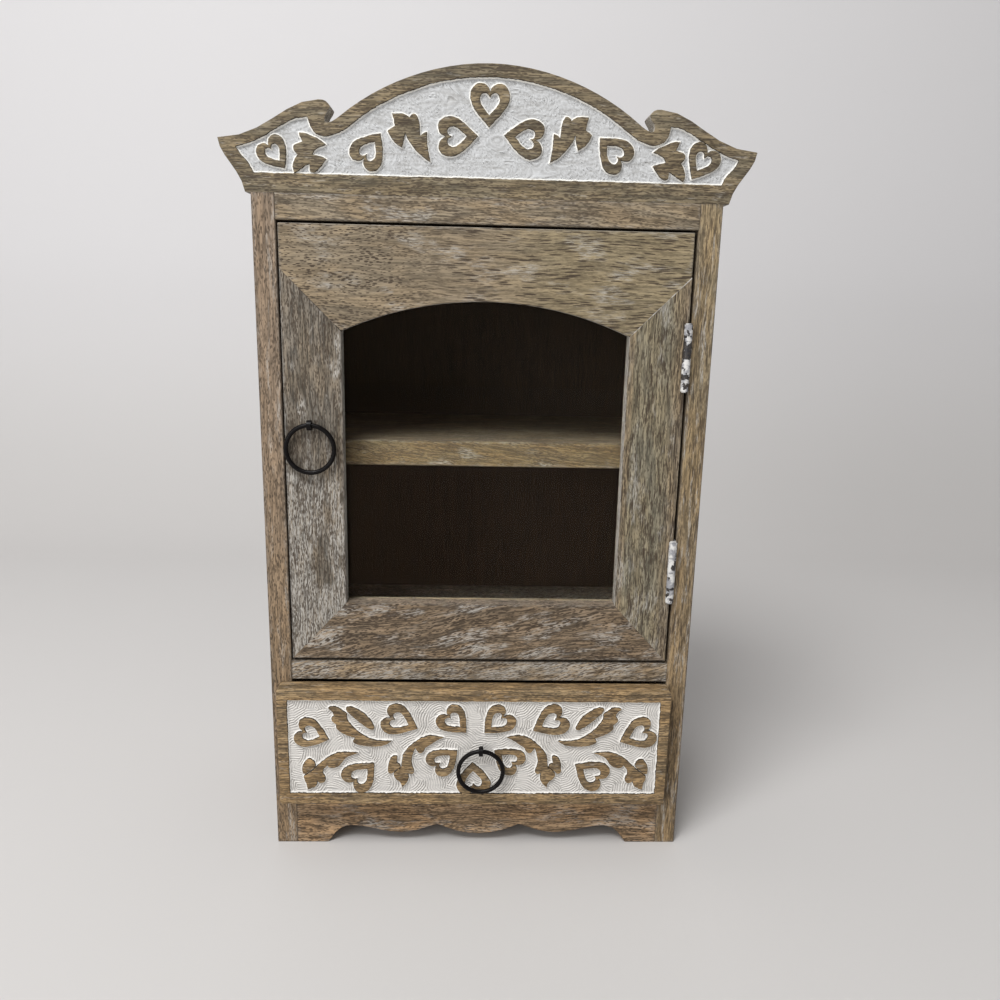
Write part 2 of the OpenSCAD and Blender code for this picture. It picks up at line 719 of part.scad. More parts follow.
magnet_wall = 1.6;
magnet_d = 6;
magnet_proud = 0.2;
module catch_magnet_block(grow = 0) {
    block(-inner_x + catch_ear_t - grow, -inner_x + catch_w - magnet_wall + grow,
          catch_y - magnet_proud - grow, catch_y + magnet_d + grow,
          catch_z - catch_l / 2 + magnet_wall - grow, catch_z + catch_l / 2 - magnet_wall + grow);
}

module catch_case() {
    color("ivory") at_front() difference() {
        union() {
            block(-inner_x, -inner_x + catch_w, catch_y, catch_y + catch_d,
                  catch_z - catch_l / 2, catch_z + catch_l / 2);
            block(-inner_x, -inner_x + catch_ear_t, catch_y, catch_y + catch_d,
                  catch_z - catch_l / 2 - catch_ear_l, catch_z + catch_l / 2 + catch_ear_l);
        }
        catch_magnet_block(fastener_play);
        catch_screw_set(fastener_play);
    }
}

module catch_magnet() {
    color("dimgray") at_front() catch_magnet_block();
}

module catch_screws() {
    color("silver") at_front() catch_screw_set();
}

module strike_plate() {
    color("silver") at_front() difference() {
        block(strike_x - strike_w / 2, strike_x + strike_w / 2, door_t, door_t + strike_t,
              catch_z - catch_l / 2, catch_z + catch_l / 2);
        strike_screw_set(fastener_play);
    }
}

module strike_screws() {
    color("silver") at_front() strike_screw_set();
}

// ---- Door ----

// A door member: its outline less the rabbet for the glass and every hole
module door_member() {
    difference() {
        slab(0, door_t) children();
        block(rabbet_x0, rabbet_x1, glass_set, door_t + over, rabbet_z0, rabbet_z1);
        bead_pin_set(fastener_play);
    }
}

module door_top_rail() {
    color("tan") at_front() door_member() difference() {
        polygon([[door_x0, door_z1], [door_x0, win_z1 + stile_w], [win_x0, win_z1],
                 [win_x1, win_z1], [door_x1, win_z1 + stile_w], [door_x1, door_z1]]);
        translate([(win_x0 + win_x1) / 2, win_z1 + arch_rise - arch_r]) circle(r = arch_r, $fn = 180);
    }
}

module door_bottom_rail() {
    color("tan") at_front() door_member()
        polygon([[door_x0, door_z0], [door_x1, door_z0], [win_x1, win_z0], [win_x0, win_z0]]);
}

module door_left_stile() {
    color("tan") at_front() difference() {
        door_member()
            polygon([[door_x0, door_z0], [win_x0, win_z0], [win_x0, win_z1],
                     [door_x0, win_z1 + stile_w]]);
        strike_screw_set(fastener_play);
        pull_hole(door_pull_x, 0, door_t, door_pull_z);
    }
}

module door_right_stile() {
    color("tan") at_front() difference() {
        door_member()
            polygon([[door_x1, door_z0], [door_x1, win_z1 + stile_w], [win_x1, win_z1],
                     [win_x1, win_z0]]);
        door_screw_set(fastener_play);
    }
}

module glass_pane() {
    color("lightblue", 0.35) at_front()
        block(rabbet_x0 + fit, rabbet_x1 - fit, glass_set, bead_y, rabbet_z0 + fit,
              rabbet_z1 - fit);
}

// One mitred strip behind the glass, from corner a to corner b of the rabbet
module glass_bead(a, b, inward_a, inward_b) {
    difference() {
        slab(bead_y, door_t)
            polygon([a, b, b + bead_w * inward_b, a + bead_w * inward_a]);
        bead_pin_set(fastener_play);
    }
}

module glass_bead_top() {
    color("burlywood") at_front()
        glass_bead([rabbet_x0, rabbet_z1], [rabbet_x1, rabbet_z1], [1, -1], [-1, -1]);
}

module glass_bead_bottom() {
    color("burlywood") at_front()
        glass_bead([rabbet_x0, rabbet_z0], [rabbet_x1, rabbet_z0], [1, 1], [-1, 1]);
}

module glass_bead_left() {
    color("burlywood") at_front()
        glass_bead([rabbet_x0, rabbet_z0], [rabbet_x0, rabbet_z1], [1, 1], [1, -1]);
}

module glass_bead_right() {
    color("burlywood") at_front()
        glass_bead([rabbet_x1, rabbet_z0], [rabbet_x1, rabbet_z1], [-1, 1], [-1, -1]);
}

module bead_pins() {
    color("silver") at_front() bead_pin_set();
}

// ---- Ring pulls ----

// The hole for a split pin's legs, through wood from y0 back to y1
module pull_hole(x, y0, y1, z) {
    translate([x, y0 - over, z]) towards("+y")
        cylinder(r = shank_r + fastener_play, h = y1 - y0 + 2 * over);
}

// A split pin: a flat loop before the face y0, legs through to y1, tails bent apart
module split_pin(x, y0, y1, z) {
    translate([x, 0, z]) {
        translate([0, y0 - pull_out, 0]) rotate([0, 90, 0])
            rotate_extrude()
                translate([loop_r - loop_t / 2, 0]) square([loop_t, loop_w], center = true);
        translate([0, y0 - loop_neck - loop_t / 2, 0]) towards("+y")
            cylinder(r = shank_r, h = y1 - y0 + loop_neck + loop_t / 2 + tail_r);
        translate([0, y1 + tail_r, 0]) cylinder(r = tail_r, h = 2 * tail_l, center = true);
    }
}

// A ring hanging from its pivot
module pull_ring(x, y0, z) {
    translate([x, y0 - pull_out, z - ring_r]) rotate([90, 0, 0])
        rotate_extrude() translate([ring_r, 0]) circle(d = ring_wire);
}

module door_split_pin() {
    color("dimgray") at_front() split_pin(door_pull_x, 0, door_t, door_pull_z);
}

module door_ring() {
    color("dimgray") at_front() pull_ring(door_pull_x, 0, door_pull_z);
}

module drawer_split_pin() {
    color("dimgray") at_front() split_pin(drawer_pull_x, front_y0, -front_play + box_t, drawer_pull_z);
}

module drawer_ring() {
    color("dimgray") at_front() pull_ring(drawer_pull_x, front_y0, drawer_pull_z);
}

// ---- Drawer ----

// A rectangle with its two upper corners rounded
module round_topped(w, h, r) {
    square([w, h - r]);
    translate([r, 0]) square([w - 2 * r, h]);
    for (x = [r, w - r]) translate([x, h - r]) circle(r);
}

module drawer_front() {
    ground_w = front_w - 2 * end_border;
    ground_h = front_h - head_border - sill_border;
    color("peru") at_front() difference() {
        translate([front_x0, 0, front_z]) difference() {
            slab(front_y0, -front_play) round_topped(front_w, front_h, edge_round);
            translate([0, 0, front_h])
                difference() {
                    block(-over, front_w + over, front_y0 - over, front_y0 + edge_round,
                          -edge_round, over);
                    translate([-2 * over, front_y0 + edge_round, -edge_round])
                        towards("+x") cylinder(r = edge_round, h = front_w + 4 * over);
                }
            slab(front_y0 - over, front_y0 + relief) difference() {
                translate([end_border, sill_border]) square([ground_w, ground_h]);
                translate([front_w / 2, sill_border + ground_h / 2])
                    motifs(drawer_hearts, drawer_sprays, ground_w / 2, ground_h / 2);
            }
        }
        pull_hole(drawer_pull_x, front_y0, -front_play, drawer_pull_z);
        drawer_screw_set(fastener_play);
    }
}

// The tray's panel, which also cuts its own grooves
module tray(grow = 0) {
    block(-box_x + box_t - groove_d - grow, box_x - box_t + groove_d + grow,
          -front_play + box_t - groove_d - grow, box_y1 + grow,
          tray_z - grow / 2, tray_z + tray_t + grow / 2);
}

module drawer_inner_front() {
    color("burlywood") at_front() difference() {
        block(-box_x + box_t, box_x - box_t, -front_play, -front_play + box_t, box_z0, box_z1);
        tray(fit);
        pull_hole(drawer_pull_x, -front_play, -front_play + box_t, drawer_pull_z);
        drawer_screw_set(fastener_play);
        drawer_brad_set(fastener_play);
    }
}

module drawer_side() {
    difference() {
        block(-box_x, -box_x + box_t, -front_play, box_y1, box_z0, box_z1);
        tray(fit);
        drawer_brad_set(fastener_play);
    }
}

module drawer_left() {
    color("burlywood") at_front() drawer_side();
}

module drawer_right() {
    color("burlywood") at_front() mirror([1, 0, 0]) drawer_side();
}

module drawer_back() {
    color("burlywood") at_front() difference() {
        block(-box_x + box_t, box_x - box_t, box_y1 - box_t, box_y1, tray_z + tray_t, box_z1);
        drawer_brad_set(fastener_play);
    }
}

module drawer_bottom() {
    color("burlywood") at_front() difference() {
        tray();
        drawer_brad_set(fastener_play);
    }
}

module drawer_brads() {
    color("silver") at_front() drawer_brad_set();
}

module drawer_screws() {
    color("silver") at_front() drawer_screw_set();
}

left_side();
right_side();
top_board();
divider_board();
shelf();
bottom_board();
back_panel();
apron();
pediment();
pediment_screws();
side_brads();
back_tacks();
upper_hinge_frame_leaf();
lower_hinge_frame_leaf();
upper_hinge_pin();
lower_hinge_pin();
frame_hinge_screws();
catch_case();
catch_magnet();
catch_screws();
door_top_rail();
door_bottom_rail();
door_left_stile();
door_right_stile();
glass_pane();
glass_bead_top();
glass_bead_bottom();
glass_bead_left();
glass_bead_right();
bead_pins();
upper_hinge_door_leaf();
lower_hinge_door_leaf();
door_hinge_screws();
strike_plate();
strike_screws();
door_split_pin();
door_ring();
drawer_front();
drawer_inner_front();
drawer_left();
drawer_right();
drawer_back();
drawer_bottom();
drawer_brads();
drawer_screws();
drawer_split_pin();
drawer_ring();
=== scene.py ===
# %% [markdown]
# # A whitewashed table cabinet
#
# The cabinet is a small hardwood box with a glazed door, one drawer, a scalloped
# apron and a carved pediment. Its construction arrives as a ready frame: every
# board, hinge and screw in its place, in metres. This lesson gives those pieces
# their looks, rounds the boards' edges, and remakes the fronts of the two carved
# boards, because their look lies in their shape.

# %% Load the frame
import json
import math

import bmesh
import bpy
import numpy as np
from mathutils import Matrix, Vector, noise
from mathutils.bvhtree import BVHTree
from mathutils.geometry import delaunay_2d_cdt
from mathutils.kdtree import KDTree

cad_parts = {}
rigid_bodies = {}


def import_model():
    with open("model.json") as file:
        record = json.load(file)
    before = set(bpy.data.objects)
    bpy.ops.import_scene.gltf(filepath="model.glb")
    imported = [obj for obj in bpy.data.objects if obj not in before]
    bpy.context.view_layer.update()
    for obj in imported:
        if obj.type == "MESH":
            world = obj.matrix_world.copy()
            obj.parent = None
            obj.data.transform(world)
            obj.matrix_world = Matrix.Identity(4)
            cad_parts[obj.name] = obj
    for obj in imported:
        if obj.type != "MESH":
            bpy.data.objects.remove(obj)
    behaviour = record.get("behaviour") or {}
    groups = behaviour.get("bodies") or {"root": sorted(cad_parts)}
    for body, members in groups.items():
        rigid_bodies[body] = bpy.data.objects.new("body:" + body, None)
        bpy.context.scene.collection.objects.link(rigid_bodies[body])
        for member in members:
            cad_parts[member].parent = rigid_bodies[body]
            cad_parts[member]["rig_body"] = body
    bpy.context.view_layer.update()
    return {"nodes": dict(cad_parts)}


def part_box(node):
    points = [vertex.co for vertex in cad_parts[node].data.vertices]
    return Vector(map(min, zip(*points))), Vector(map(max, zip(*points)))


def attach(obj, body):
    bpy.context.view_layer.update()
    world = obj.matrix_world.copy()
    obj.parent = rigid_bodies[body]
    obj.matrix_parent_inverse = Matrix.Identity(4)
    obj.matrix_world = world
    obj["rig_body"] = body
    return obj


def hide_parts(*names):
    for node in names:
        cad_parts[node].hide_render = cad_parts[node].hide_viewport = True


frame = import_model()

MM = 0.001

# %% [markdown]
# ## The camera
#
# The photograph was taken by hand, a little left of the middle and above the door,
# looking down. The straight edges of the body fix that view: where the lens stood,
# how long it was, and how it leaned. The three leans are turned into the camera's
# own axes, which point right, up and back.

# %% Camera
LENS_PLACE = Vector((-7.7, -558.2, 347.9)) * MM
LENS_LENGTH = 30.6
SENSOR_WIDTH = 36.0
NEAREST_SEEN = 0.01
PITCH, YAW, ROLL = 13.32, -2.016, 1.306


def placed(name, data):
    """A new object in the scene."""
    thing = bpy.data.objects.new(name, data)
    bpy.context.scene.collection.objects.link(thing)
    return thing


def turned(axis, degrees):
    """A 3 x 3 turn about one axis."""
    c, s = math.cos(math.radians(degrees)), math.sin(math.radians(degrees))
    return {"x": np.array([[1, 0, 0], [0, c, -s], [0, s, c]]),
            "y": np.array([[c, 0, s], [0, 1, 0], [-s, 0, c]]),
            "z": np.array([[c, -s, 0], [s, c, 0], [0, 0, 1]])}[axis]


level_view = np.array([[1, 0, 0], [0, 0, -1], [0, 1, 0]])
right, down, ahead = turned("z", ROLL) @ turned("x", PITCH) @ turned("y", YAW) @ level_view
lens = bpy.data.cameras.new("lens")
lens.lens = LENS_LENGTH
lens.sensor_width = SENSOR_WIDTH
lens.clip_start = NEAREST_SEEN
camera = placed("camera", lens)
camera.matrix_world = Matrix([[right[i], -down[i], -ahead[i], LENS_PLACE[i]] for i in range(3)]
                             + [[0, 0, 0, 1]])
bpy.context.scene.camera = camera
print("camera looks along", [round(float(v), 3) for v in ahead])

# %% [markdown]
# ## Writing a finish
#
# A finish here is a short recipe of nodes. Writing nodes out one by one hides the
# idea behind the wiring, so a small helper lets each line say what it mixes. All
# lengths in it are millimetres, and every pattern hangs on the piece's own place,
# so it doesn't slide when a drawer or door moves.

# %% Recipe helper
class Recipe:
    """A material whose nodes are written one line at a time."""

    def __init__(self, name):
        self.material = bpy.data.materials.new(name)
        self.material.use_nodes = True
        self.tree = self.material.node_tree
        self.shader = self.tree.nodes["Principled BSDF"]

    def add(self, kind, output=0, inputs=None, **settings):
        """One node: its inputs get numbers, colours or other nodes' outputs."""
        node = self.tree.nodes.new("ShaderNode" + kind)
        for name, value in settings.items():
            setattr(node, name, value)
        for key, value in (inputs or {}).items():
            if isinstance(value, bpy.types.NodeSocket):
                self.tree.links.new(value, node.inputs[key])
            else:
                node.inputs[key].default_value = value
        return node.outputs[output]

    def reckon(self, operation, *values):
        """One calculation with plain numbers, named as the Math node names it."""
        return self.add("Math", inputs=dict(enumerate(values)), operation=operation)

    def sum(self, a, b):
        """a and b together."""
        return self.reckon("ADD", a, b)

    def product(self, a, b):
        """a times b."""
        return self.reckon("MULTIPLY", a, b)

    def ramp(self, value, low, high, start=0.0, end=1.0):
        """A soft step: start below low, end above high."""
        return self.add("MapRange", inputs={0: value, 1: low, 2: high, 3: start, 4: end},
                        interpolation_type="SMOOTHSTEP")

    def blend(self, share, a, b, way="MIX"):
        """Colour a with a share of colour b laid over it, by the Mix node's colour sockets."""
        return self.add("Mix", 2, {0: share, 6: a, 7: b}, data_type="RGBA", blend_type=way)

    def parts(self, vector):
        """The three coordinates of a vector."""
        return self.add("SeparateXYZ", inputs={0: vector}).node.outputs

    def place(self, order="xyz", sizes=(1, 1, 1), shift=(0, 0, 0)):
        """The point in mm, its axes in the given order, each divided by a size."""
        axes = dict(zip("xyz", self.parts(self.add("TexCoord", "Object"))))
        joined = self.add("CombineXYZ", inputs={i: axes[a] for i, a in enumerate(order)})
        scaled = self.add("VectorMath", inputs={0: joined, 1: [1 / (s * MM) for s in sizes]},
                          operation="MULTIPLY")
        return self.add("VectorMath", inputs={0: scaled, 1: shift}, operation="ADD")

    def cloud(self, where, detail=2.0, roughness=0.5):
        """Soft noise from 0 to 1 whose lumps are about one unit long."""
        return self.add("TexNoise", inputs={"Vector": where, "Scale": 1.0, "Detail": detail,
                                            "Roughness": roughness})

    def lumps(self, size, detail=2.0, roughness=0.5):
        """Soft noise from 0 to 1 whose lumps are about that many mm long."""
        return self.cloud(self.place("xyz", (size, size, size)), detail, roughness)

    def stretched(self, where, along, wide):
        """The place, for a pattern whose marks are so long and so wide, in mm."""
        return self.add("VectorMath", inputs={0: where, 1: (1 / along, 1 / wide, 1 / wide)},
                        operation="MULTIPLY")

    def streaks(self, where, along, wide, detail=2.0, roughness=0.5):
        """Noise drawn out along the first axis: streaks so long and so wide, in mm."""
        return self.cloud(self.stretched(where, along, wide), detail, roughness)

    def dashes(self, where, along, wide, size, more):
        """Separate dashes, one to each cell of a stretched honeycomb, more or fewer by place."""
        cell = self.stretched(where, along, wide)
        away = self.add("TexVoronoi", inputs={"Vector": cell, "Scale": 1.0})
        return self.ramp(self.reckon("SUBTRACT", away, more), 0.6 * size, size, 1.0, 0.0)

    def axis(self, index):
        """One coordinate of the point, in mm."""
        return self.parts(self.place())[index]

    def facing(self):
        """How squarely the surface faces the front or the back, from 0 to 1."""
        return self.reckon("ABSOLUTE", self.parts(self.add("TexCoord", "Normal"))[1])

    def bump(self, height, depth):
        """Hollows and ridges of that depth in mm."""
        return self.add("Bump", inputs={"Height": height, "Distance": depth * MM, "Strength": 1.0})

    def finish(self, colour, roughness, normal=None, **fixed):
        """Feeds the shader; what is the same all over is set on its own socket."""
        for key, value in {"Base Color": colour, "Roughness": roughness, "Normal": normal}.items():
            if isinstance(value, bpy.types.NodeSocket):
                self.tree.links.new(value, self.shader.inputs[key])
            elif value is not None:
                self.shader.inputs[key].default_value = value
        for key, value in fixed.items():
            self.shader.inputs[key.replace("_", " ")].default_value = value
        return self.material


print("recipe helper ready")

# %% [markdown]
# ## The studio
#
# The cabinet stands on a pale cloth before a pale wall, under a wide soft light from
# above and a little to the left. A steep light matters here: it leaves the inside
# of the cupboard dark, and it draws the carving, because every edge that faces up
# turns bright and every edge that faces down turns grey. One sheet that bends up
# behind the cabinet gives a floor and a wall with no corner. Its colour drifts from
# a warm grey floor to a paler, cooler wall.

# %% Floor, wall and light
FLOOR_COLOUR = (0.60, 0.585, 0.575, 1)
WALL_COLOUR = (0.75, 0.74, 0.75, 1)
WALL_DISTANCE = 0.90
SWEEP_RADIUS = 0.35
SWEEP_SIZE = 3.0
SWEEP_FOLDS = 16
WALL_TONE_FROM = 450
CLOTH_ROUGHNESS = 0.9
CABINET_MIDDLE = (0, 0, 0.24)
ROOM_COLOUR = (1.0, 0.99, 0.97, 1)
ROOM_LIGHT = 0.36

profile = [(-SWEEP_SIZE, 0.0)]
for step in range(SWEEP_FOLDS + 1):
    angle = math.radians(90 * step / SWEEP_FOLDS)
    profile.append((WALL_DISTANCE - SWEEP_RADIUS + SWEEP_RADIUS * math.sin(angle),
                    SWEEP_RADIUS - SWEEP_RADIUS * math.cos(angle)))
profile.append((WALL_DISTANCE, SWEEP_SIZE))
sweep_mesh = bpy.data.meshes.new("sweep")
sweep_mesh.from_pydata(
    [(side * SWEEP_SIZE, y, z) for y, z in profile for side in (-1, 1)], [],
    [(2 * i, 2 * i + 1, 2 * i + 3, 2 * i + 2) for i in range(len(profile) - 1)])
sweep_mesh.shade_smooth()
sweep = placed("sweep", sweep_mesh)
cloth = Recipe("pale_paper")
drift = cloth.ramp(cloth.axis(2), 0, WALL_TONE_FROM)
sweep_mesh.materials.append(
    cloth.finish(cloth.blend(drift, FLOOR_COLOUR, WALL_COLOUR), CLOTH_ROUGHNESS))


def lamp(name, place, aim, size, power):
    """A square soft light at a place, facing a point."""
    light = bpy.data.lights.new(name, "AREA")
    light.size = size
    light.energy = power
    holder = placed(name, light)
    holder.location = place
    holder.rotation_euler = (Vector(aim) - Vector(place)).to_track_quat("-Z", "Y").to_euler()


lamp("ceiling_light", (-0.55, -0.95, 1.75), CABINET_MIDDLE, 0.8, 30)
lamp("window_light", (-1.3, -1.5, 0.7), CABINET_MIDDLE, 1.0, 10)
world = bpy.data.worlds.new("room")
world.use_nodes = True
background = world.node_tree.nodes["Background"]
background.inputs["Color"].default_value = ROOM_COLOUR
background.inputs["Strength"].default_value = ROOM_LIGHT
bpy.context.scene.world = world
bpy.context.scene.view_settings.view_transform = "Standard"
print("studio: 2 lamps,", SWEEP_FOLDS, "folds in the sweep")

# %% [markdown]
# ## Whitewashed wood
#
# The cabinet is of an open-grained hardwood. Close up, its face is a tan ground with
# broad darker bands, fine fibre, and thousands of dark dashes: the pores, cut
# lengthwise, 2 to 3 mm long, or in some boards drawn out into lines. White wash was
# brushed on and rubbed off again, so it is left in soft patches, in fine streaks
# between the pores, and along the edges.
#
# Bands, fibre and wash are stretched noise. The pores are not: noise cut off at a
# level runs together into blotches, so each pore is the middle of one cell in a
# stretched honeycomb, which keeps the dashes apart. The order of the axes turns the
# grain along the board, a slow noise bends it, and every board gets its own shift
# and tone, because no two boards of the real cabinet match. Each layer below is
# named with its length along the grain and its width across it, in mm, and a pore
# also with its share of its cell.

# %% Wood finish
GRAIN_AXES = {"x": "xzy", "y": "yxz", "z": "zxy"}
BOARD_SHIFT = (37.0, 11.0, 5.0)
BENDS = (70, 28)
WAVE_DEPTH = 4
BANDS = (60, 3.6)
PATCHES = (34, 10.0)
FIBRES = (11, 1.0)
CROWDS = (26, 6.0)
BAND_DARK, BAND_LIGHT = 0.15, 0.10
FIBRE_DARK, FIBRE_LIGHT = 0.34, 0.25
SHORT_PORE = (3.1, 0.76, 0.42)
LONG_PORE = (11, 0.98, 0.38)
COOLER = (-0.13, -0.07, 0.03)
WARMER = (0.11, 0.04, -0.06)
PORE_COLOUR = (0.055, 0.038, 0.025, 1)
WASH_COLOUR = (0.50, 0.475, 0.435, 1)
# Dirt, and painted shade, along board edges; also the dark mitre line.
DUST_AND_SHADE_COLOUR = (0.022, 0.015, 0.010, 1)
TURNED = (0.45, 0.95)
SEAM_WIDTH = (0.10, 0.38)
WEATHERED_DEPTH = 0.09
WOOD_SHINE = 0.3


def bent_grain(recipe, grain, seed, slope, wave):
    """The place along, across and into a board, whose grain climbs and waves."""
    shift = [seed * way for way in BOARD_SHIFT]
    board = recipe.place(GRAIN_AXES[grain], (1, 1, 1), shift)
    along, across, into = recipe.parts(board)
    waved = recipe.reckon("MULTIPLY_ADD", recipe.streaks(board, *BENDS, 1.5),
                           wave * WAVE_DEPTH, across)
    climbed = recipe.reckon("MULTIPLY_ADD", along, slope, waved)
    return recipe.add("CombineXYZ", inputs={0: along, 1: climbed, 2: into})


def shifted(tone, way, share):
    """A tone moved by a share of a shift in its red, green and blue."""
    return tuple(c * (1 + share * k) for c, k in zip(tone, way)) + (1,)


def wood_layers(recipe, grain, tone, seed, slope=0.0, wave=3.0, pores=0.75, contrast=1.0,
                lines=0.5, hue=0.5, tints=(), split=None):
    """The bare wood: its colour, its pores, its fibre and the bent grain they follow.
    A tint is an axis, the places where it sets in and is full, its share and its colour.
    A split is the stretch of the board over which short pores give way to long ones."""
    bent = bent_grain(recipe, grain, seed, slope, wave)
    bands = recipe.streaks(bent, *BANDS, 3.0)
    patches = recipe.streaks(bent, *PATCHES, 2.0)
    fibre = recipe.streaks(bent, *FIBRES, 3.0, 0.7)
    crowd = recipe.streaks(bent, *CROWDS, 1.0)

    cool, warm = shifted(tone, COOLER, hue), shifted(tone, WARMER, hue)
    colour = recipe.blend(recipe.ramp(patches, 0.36, 0.62), cool, warm)
    for axis, start, end, share, tint in tints:
        tinted = recipe.ramp(recipe.axis(axis), start, end, 0.0, share)
        colour = recipe.blend(tinted, colour, tint + (1,))
    shade = recipe.product(
        recipe.ramp(bands, 0.36, 0.64, 1 - BAND_DARK * contrast, 1 + BAND_LIGHT * contrast),
        recipe.ramp(fibre, 0.38, 0.62, 1 - FIBRE_DARK * contrast, 1 + FIBRE_LIGHT * contrast))
    shading = recipe.add("CombineColor", inputs={0: shade, 1: shade, 2: shade})
    colour = recipe.blend(1.0, colour, shading, "MULTIPLY")

    crowded = recipe.ramp(crowd, 0.3, 0.7, -0.08, 0.09)
    ragged = recipe.product(recipe.sum(recipe.lumps(1.2), -0.5), 0.18)
    more = recipe.sum(crowded, ragged)
    short = recipe.product(recipe.dashes(bent, *SHORT_PORE, more), pores)
    long = recipe.product(recipe.dashes(bent, *LONG_PORE, more), lines)
    if split:
        short = recipe.product(short, recipe.ramp(recipe.axis(0), *split, 1.0, 0.3))
        long = recipe.product(long, recipe.ramp(recipe.axis(0), *split, 0.1, 1.0))
    return colour, recipe.reckon("MAXIMUM", short, long), fibre, bent


def rim_distance(recipe, box):
    """How far a point of a board lies from the nearer long edges, in mm."""
    low, high = box
    nearest = None
    for axis in (0, 2):
        for edge, way in ((low[axis], 1), (high[axis], -1)):
            gap = recipe.reckon("MULTIPLY_ADD", recipe.axis(axis), way, -way * edge / MM)
            nearest = gap if nearest is None else recipe.reckon("MINIMUM", nearest, gap)
    return nearest


def line_distance(recipe, a, b):
    """How far a point lies from the line through two points of the front, in mm."""
    way = (b - a).normalized()
    square = Vector((-way.z, 0, way.x))
    off = recipe.add("VectorMath", "Value", {0: recipe.place(), 1: square}, operation="DOT_PRODUCT")
    return recipe.reckon("ABSOLUTE", recipe.sum(off, -square.dot(a) / MM))


def weathered_wood(node, grain, tone, seed, wash=0.5, strength=0.55, rim=0.5, dust_and_shade=0.5,
                   patch=11.0, reach=2.4, low_wash=0.0, returns=None, seams=(), **figure):
    """The finish of one board, washed white in patches and along its edges, and darker close to its
    long edges as dirt and painted shade. With returns, the faces that turn away from the front get
    that share of wash, and no wear, dirt or painted shade.
    A seam is two points of a mitre's line and the line's colour."""
    recipe = Recipe("whitewashed_" + node)
    colour, pore, fibre, bent = wood_layers(recipe, grain, tone, seed, **figure)
    patches = recipe.streaks(bent, reach * patch, patch, 3.0, 0.55)
    if low_wash:
        low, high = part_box(node)
        fall = recipe.ramp(recipe.axis(2), low.z / MM, high.z / MM, low_wash, -low_wash)
        patches = recipe.sum(patches, fall)
    broken = recipe.ramp(recipe.streaks(bent, 5.5, 0.75, 3.0, 0.7), 0.42, 0.60, 0.08, 1.0)
    rubbed = recipe.product(recipe.ramp(patches, 0.66 - 0.30 * wash, 0.80 - 0.30 * wash), broken)
    nearest = rim_distance(recipe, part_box(node))
    ragged = recipe.reckon("MULTIPLY_ADD", recipe.lumps(6, 3.0), -5.0, nearest)
    worn = recipe.product(recipe.ramp(ragged, -2.6, -0.2, rim, 0.0), broken)
    white = recipe.product(recipe.reckon("MAXIMUM", rubbed, worn), strength)
    frontal = 1.0
    if returns is not None:
        facing = recipe.facing()
        frontal = recipe.ramp(facing, *TURNED)
        turned_away = recipe.ramp(facing, *TURNED, returns, 0.0)
        white = recipe.sum(recipe.product(white, frontal), turned_away)
    colour = recipe.blend(white, colour, WASH_COLOUR)
    colour = recipe.blend(recipe.product(pore, 0.95), colour, PORE_COLOUR)
    # Darker within about a mm of the long edges: dirt, and painted shade where boards meet.
    dirt_and_edge_shade = recipe.product(recipe.ramp(nearest, 0.2, 1.1, dust_and_shade, 0.0),
                           recipe.ramp(patches, 0.3, 0.6, 0.3, 1.0))
    colour = recipe.blend(recipe.product(dirt_and_edge_shade, frontal), colour, DUST_AND_SHADE_COLOUR)
    for a, b, tint in seams:
        kept = recipe.ramp(recipe.lumps(7, 3.0), 0.38, 0.56, 0.1, 1.0)
        line = recipe.ramp(line_distance(recipe, a, b), *SEAM_WIDTH, 0.85, 0.0)
        colour = recipe.blend(recipe.product(line, kept), colour, tint)
    normal = recipe.bump(recipe.reckon("SUBTRACT", fibre, pore), WEATHERED_DEPTH)
    return recipe.finish(colour, 0.72, normal, Specular_IOR_Level=WOOD_SHINE)


print("wood: pore, band, fibre and wash layers")

# %% [markdown]
# ## Dressing the boards
#
# The frame's boards have perfect sharp edges, which no plane or sandpaper leaves. A
# dressed board is a copy with its coplanar triangles joined and its free edges
# rounded. An edge where two boards meet is nearly crisp on the real cabinet, because
# they were sanded together, so the edge first feels for a neighbour: if the surface
# of another board passes through it, it gets only a hairline of rounding. Shading
# follows the larger face at each point, so the flats stay flat up to their edges.

# %% Board dressing
ARRIS = 0.55
JOINT_ARRIS_SHARE = 0.22
ARRIS_STEPS = 3
FEEL = 0.03
SHORTEST_ARRIS = 1.6
ON_THE_TABLE = 0.01
SHARP_FROM = math.radians(35)
WELD = 0.002
IN_ONE_PLANE = math.radians(0.5)


def welded(mesh):
    """A bmesh copy with split points joined."""
    work = bmesh.new()
    work.from_mesh(mesh)
    bmesh.ops.remove_doubles(work, verts=work.verts, dist=WELD * MM)
    return work


def built(name, work, *finishes):
    """A new object made of a bmesh, in its finishes."""
    mesh = bpy.data.meshes.new(name)
    work.to_mesh(mesh)
    work.free()
    for finish in finishes:
        mesh.materials.append(finish)
    return placed(name, mesh)


def surface_of(names):
    """One searchable surface made of several nodes."""
    points, faces = [], []
    for name in names:
        mesh = frame["nodes"][name].data
        base = len(points)
        points += [v.co.copy() for v in mesh.vertices]
        faces += [[base + i for i in face.vertices] for face in mesh.polygons]
    return BVHTree.FromPolygons(points, faces)


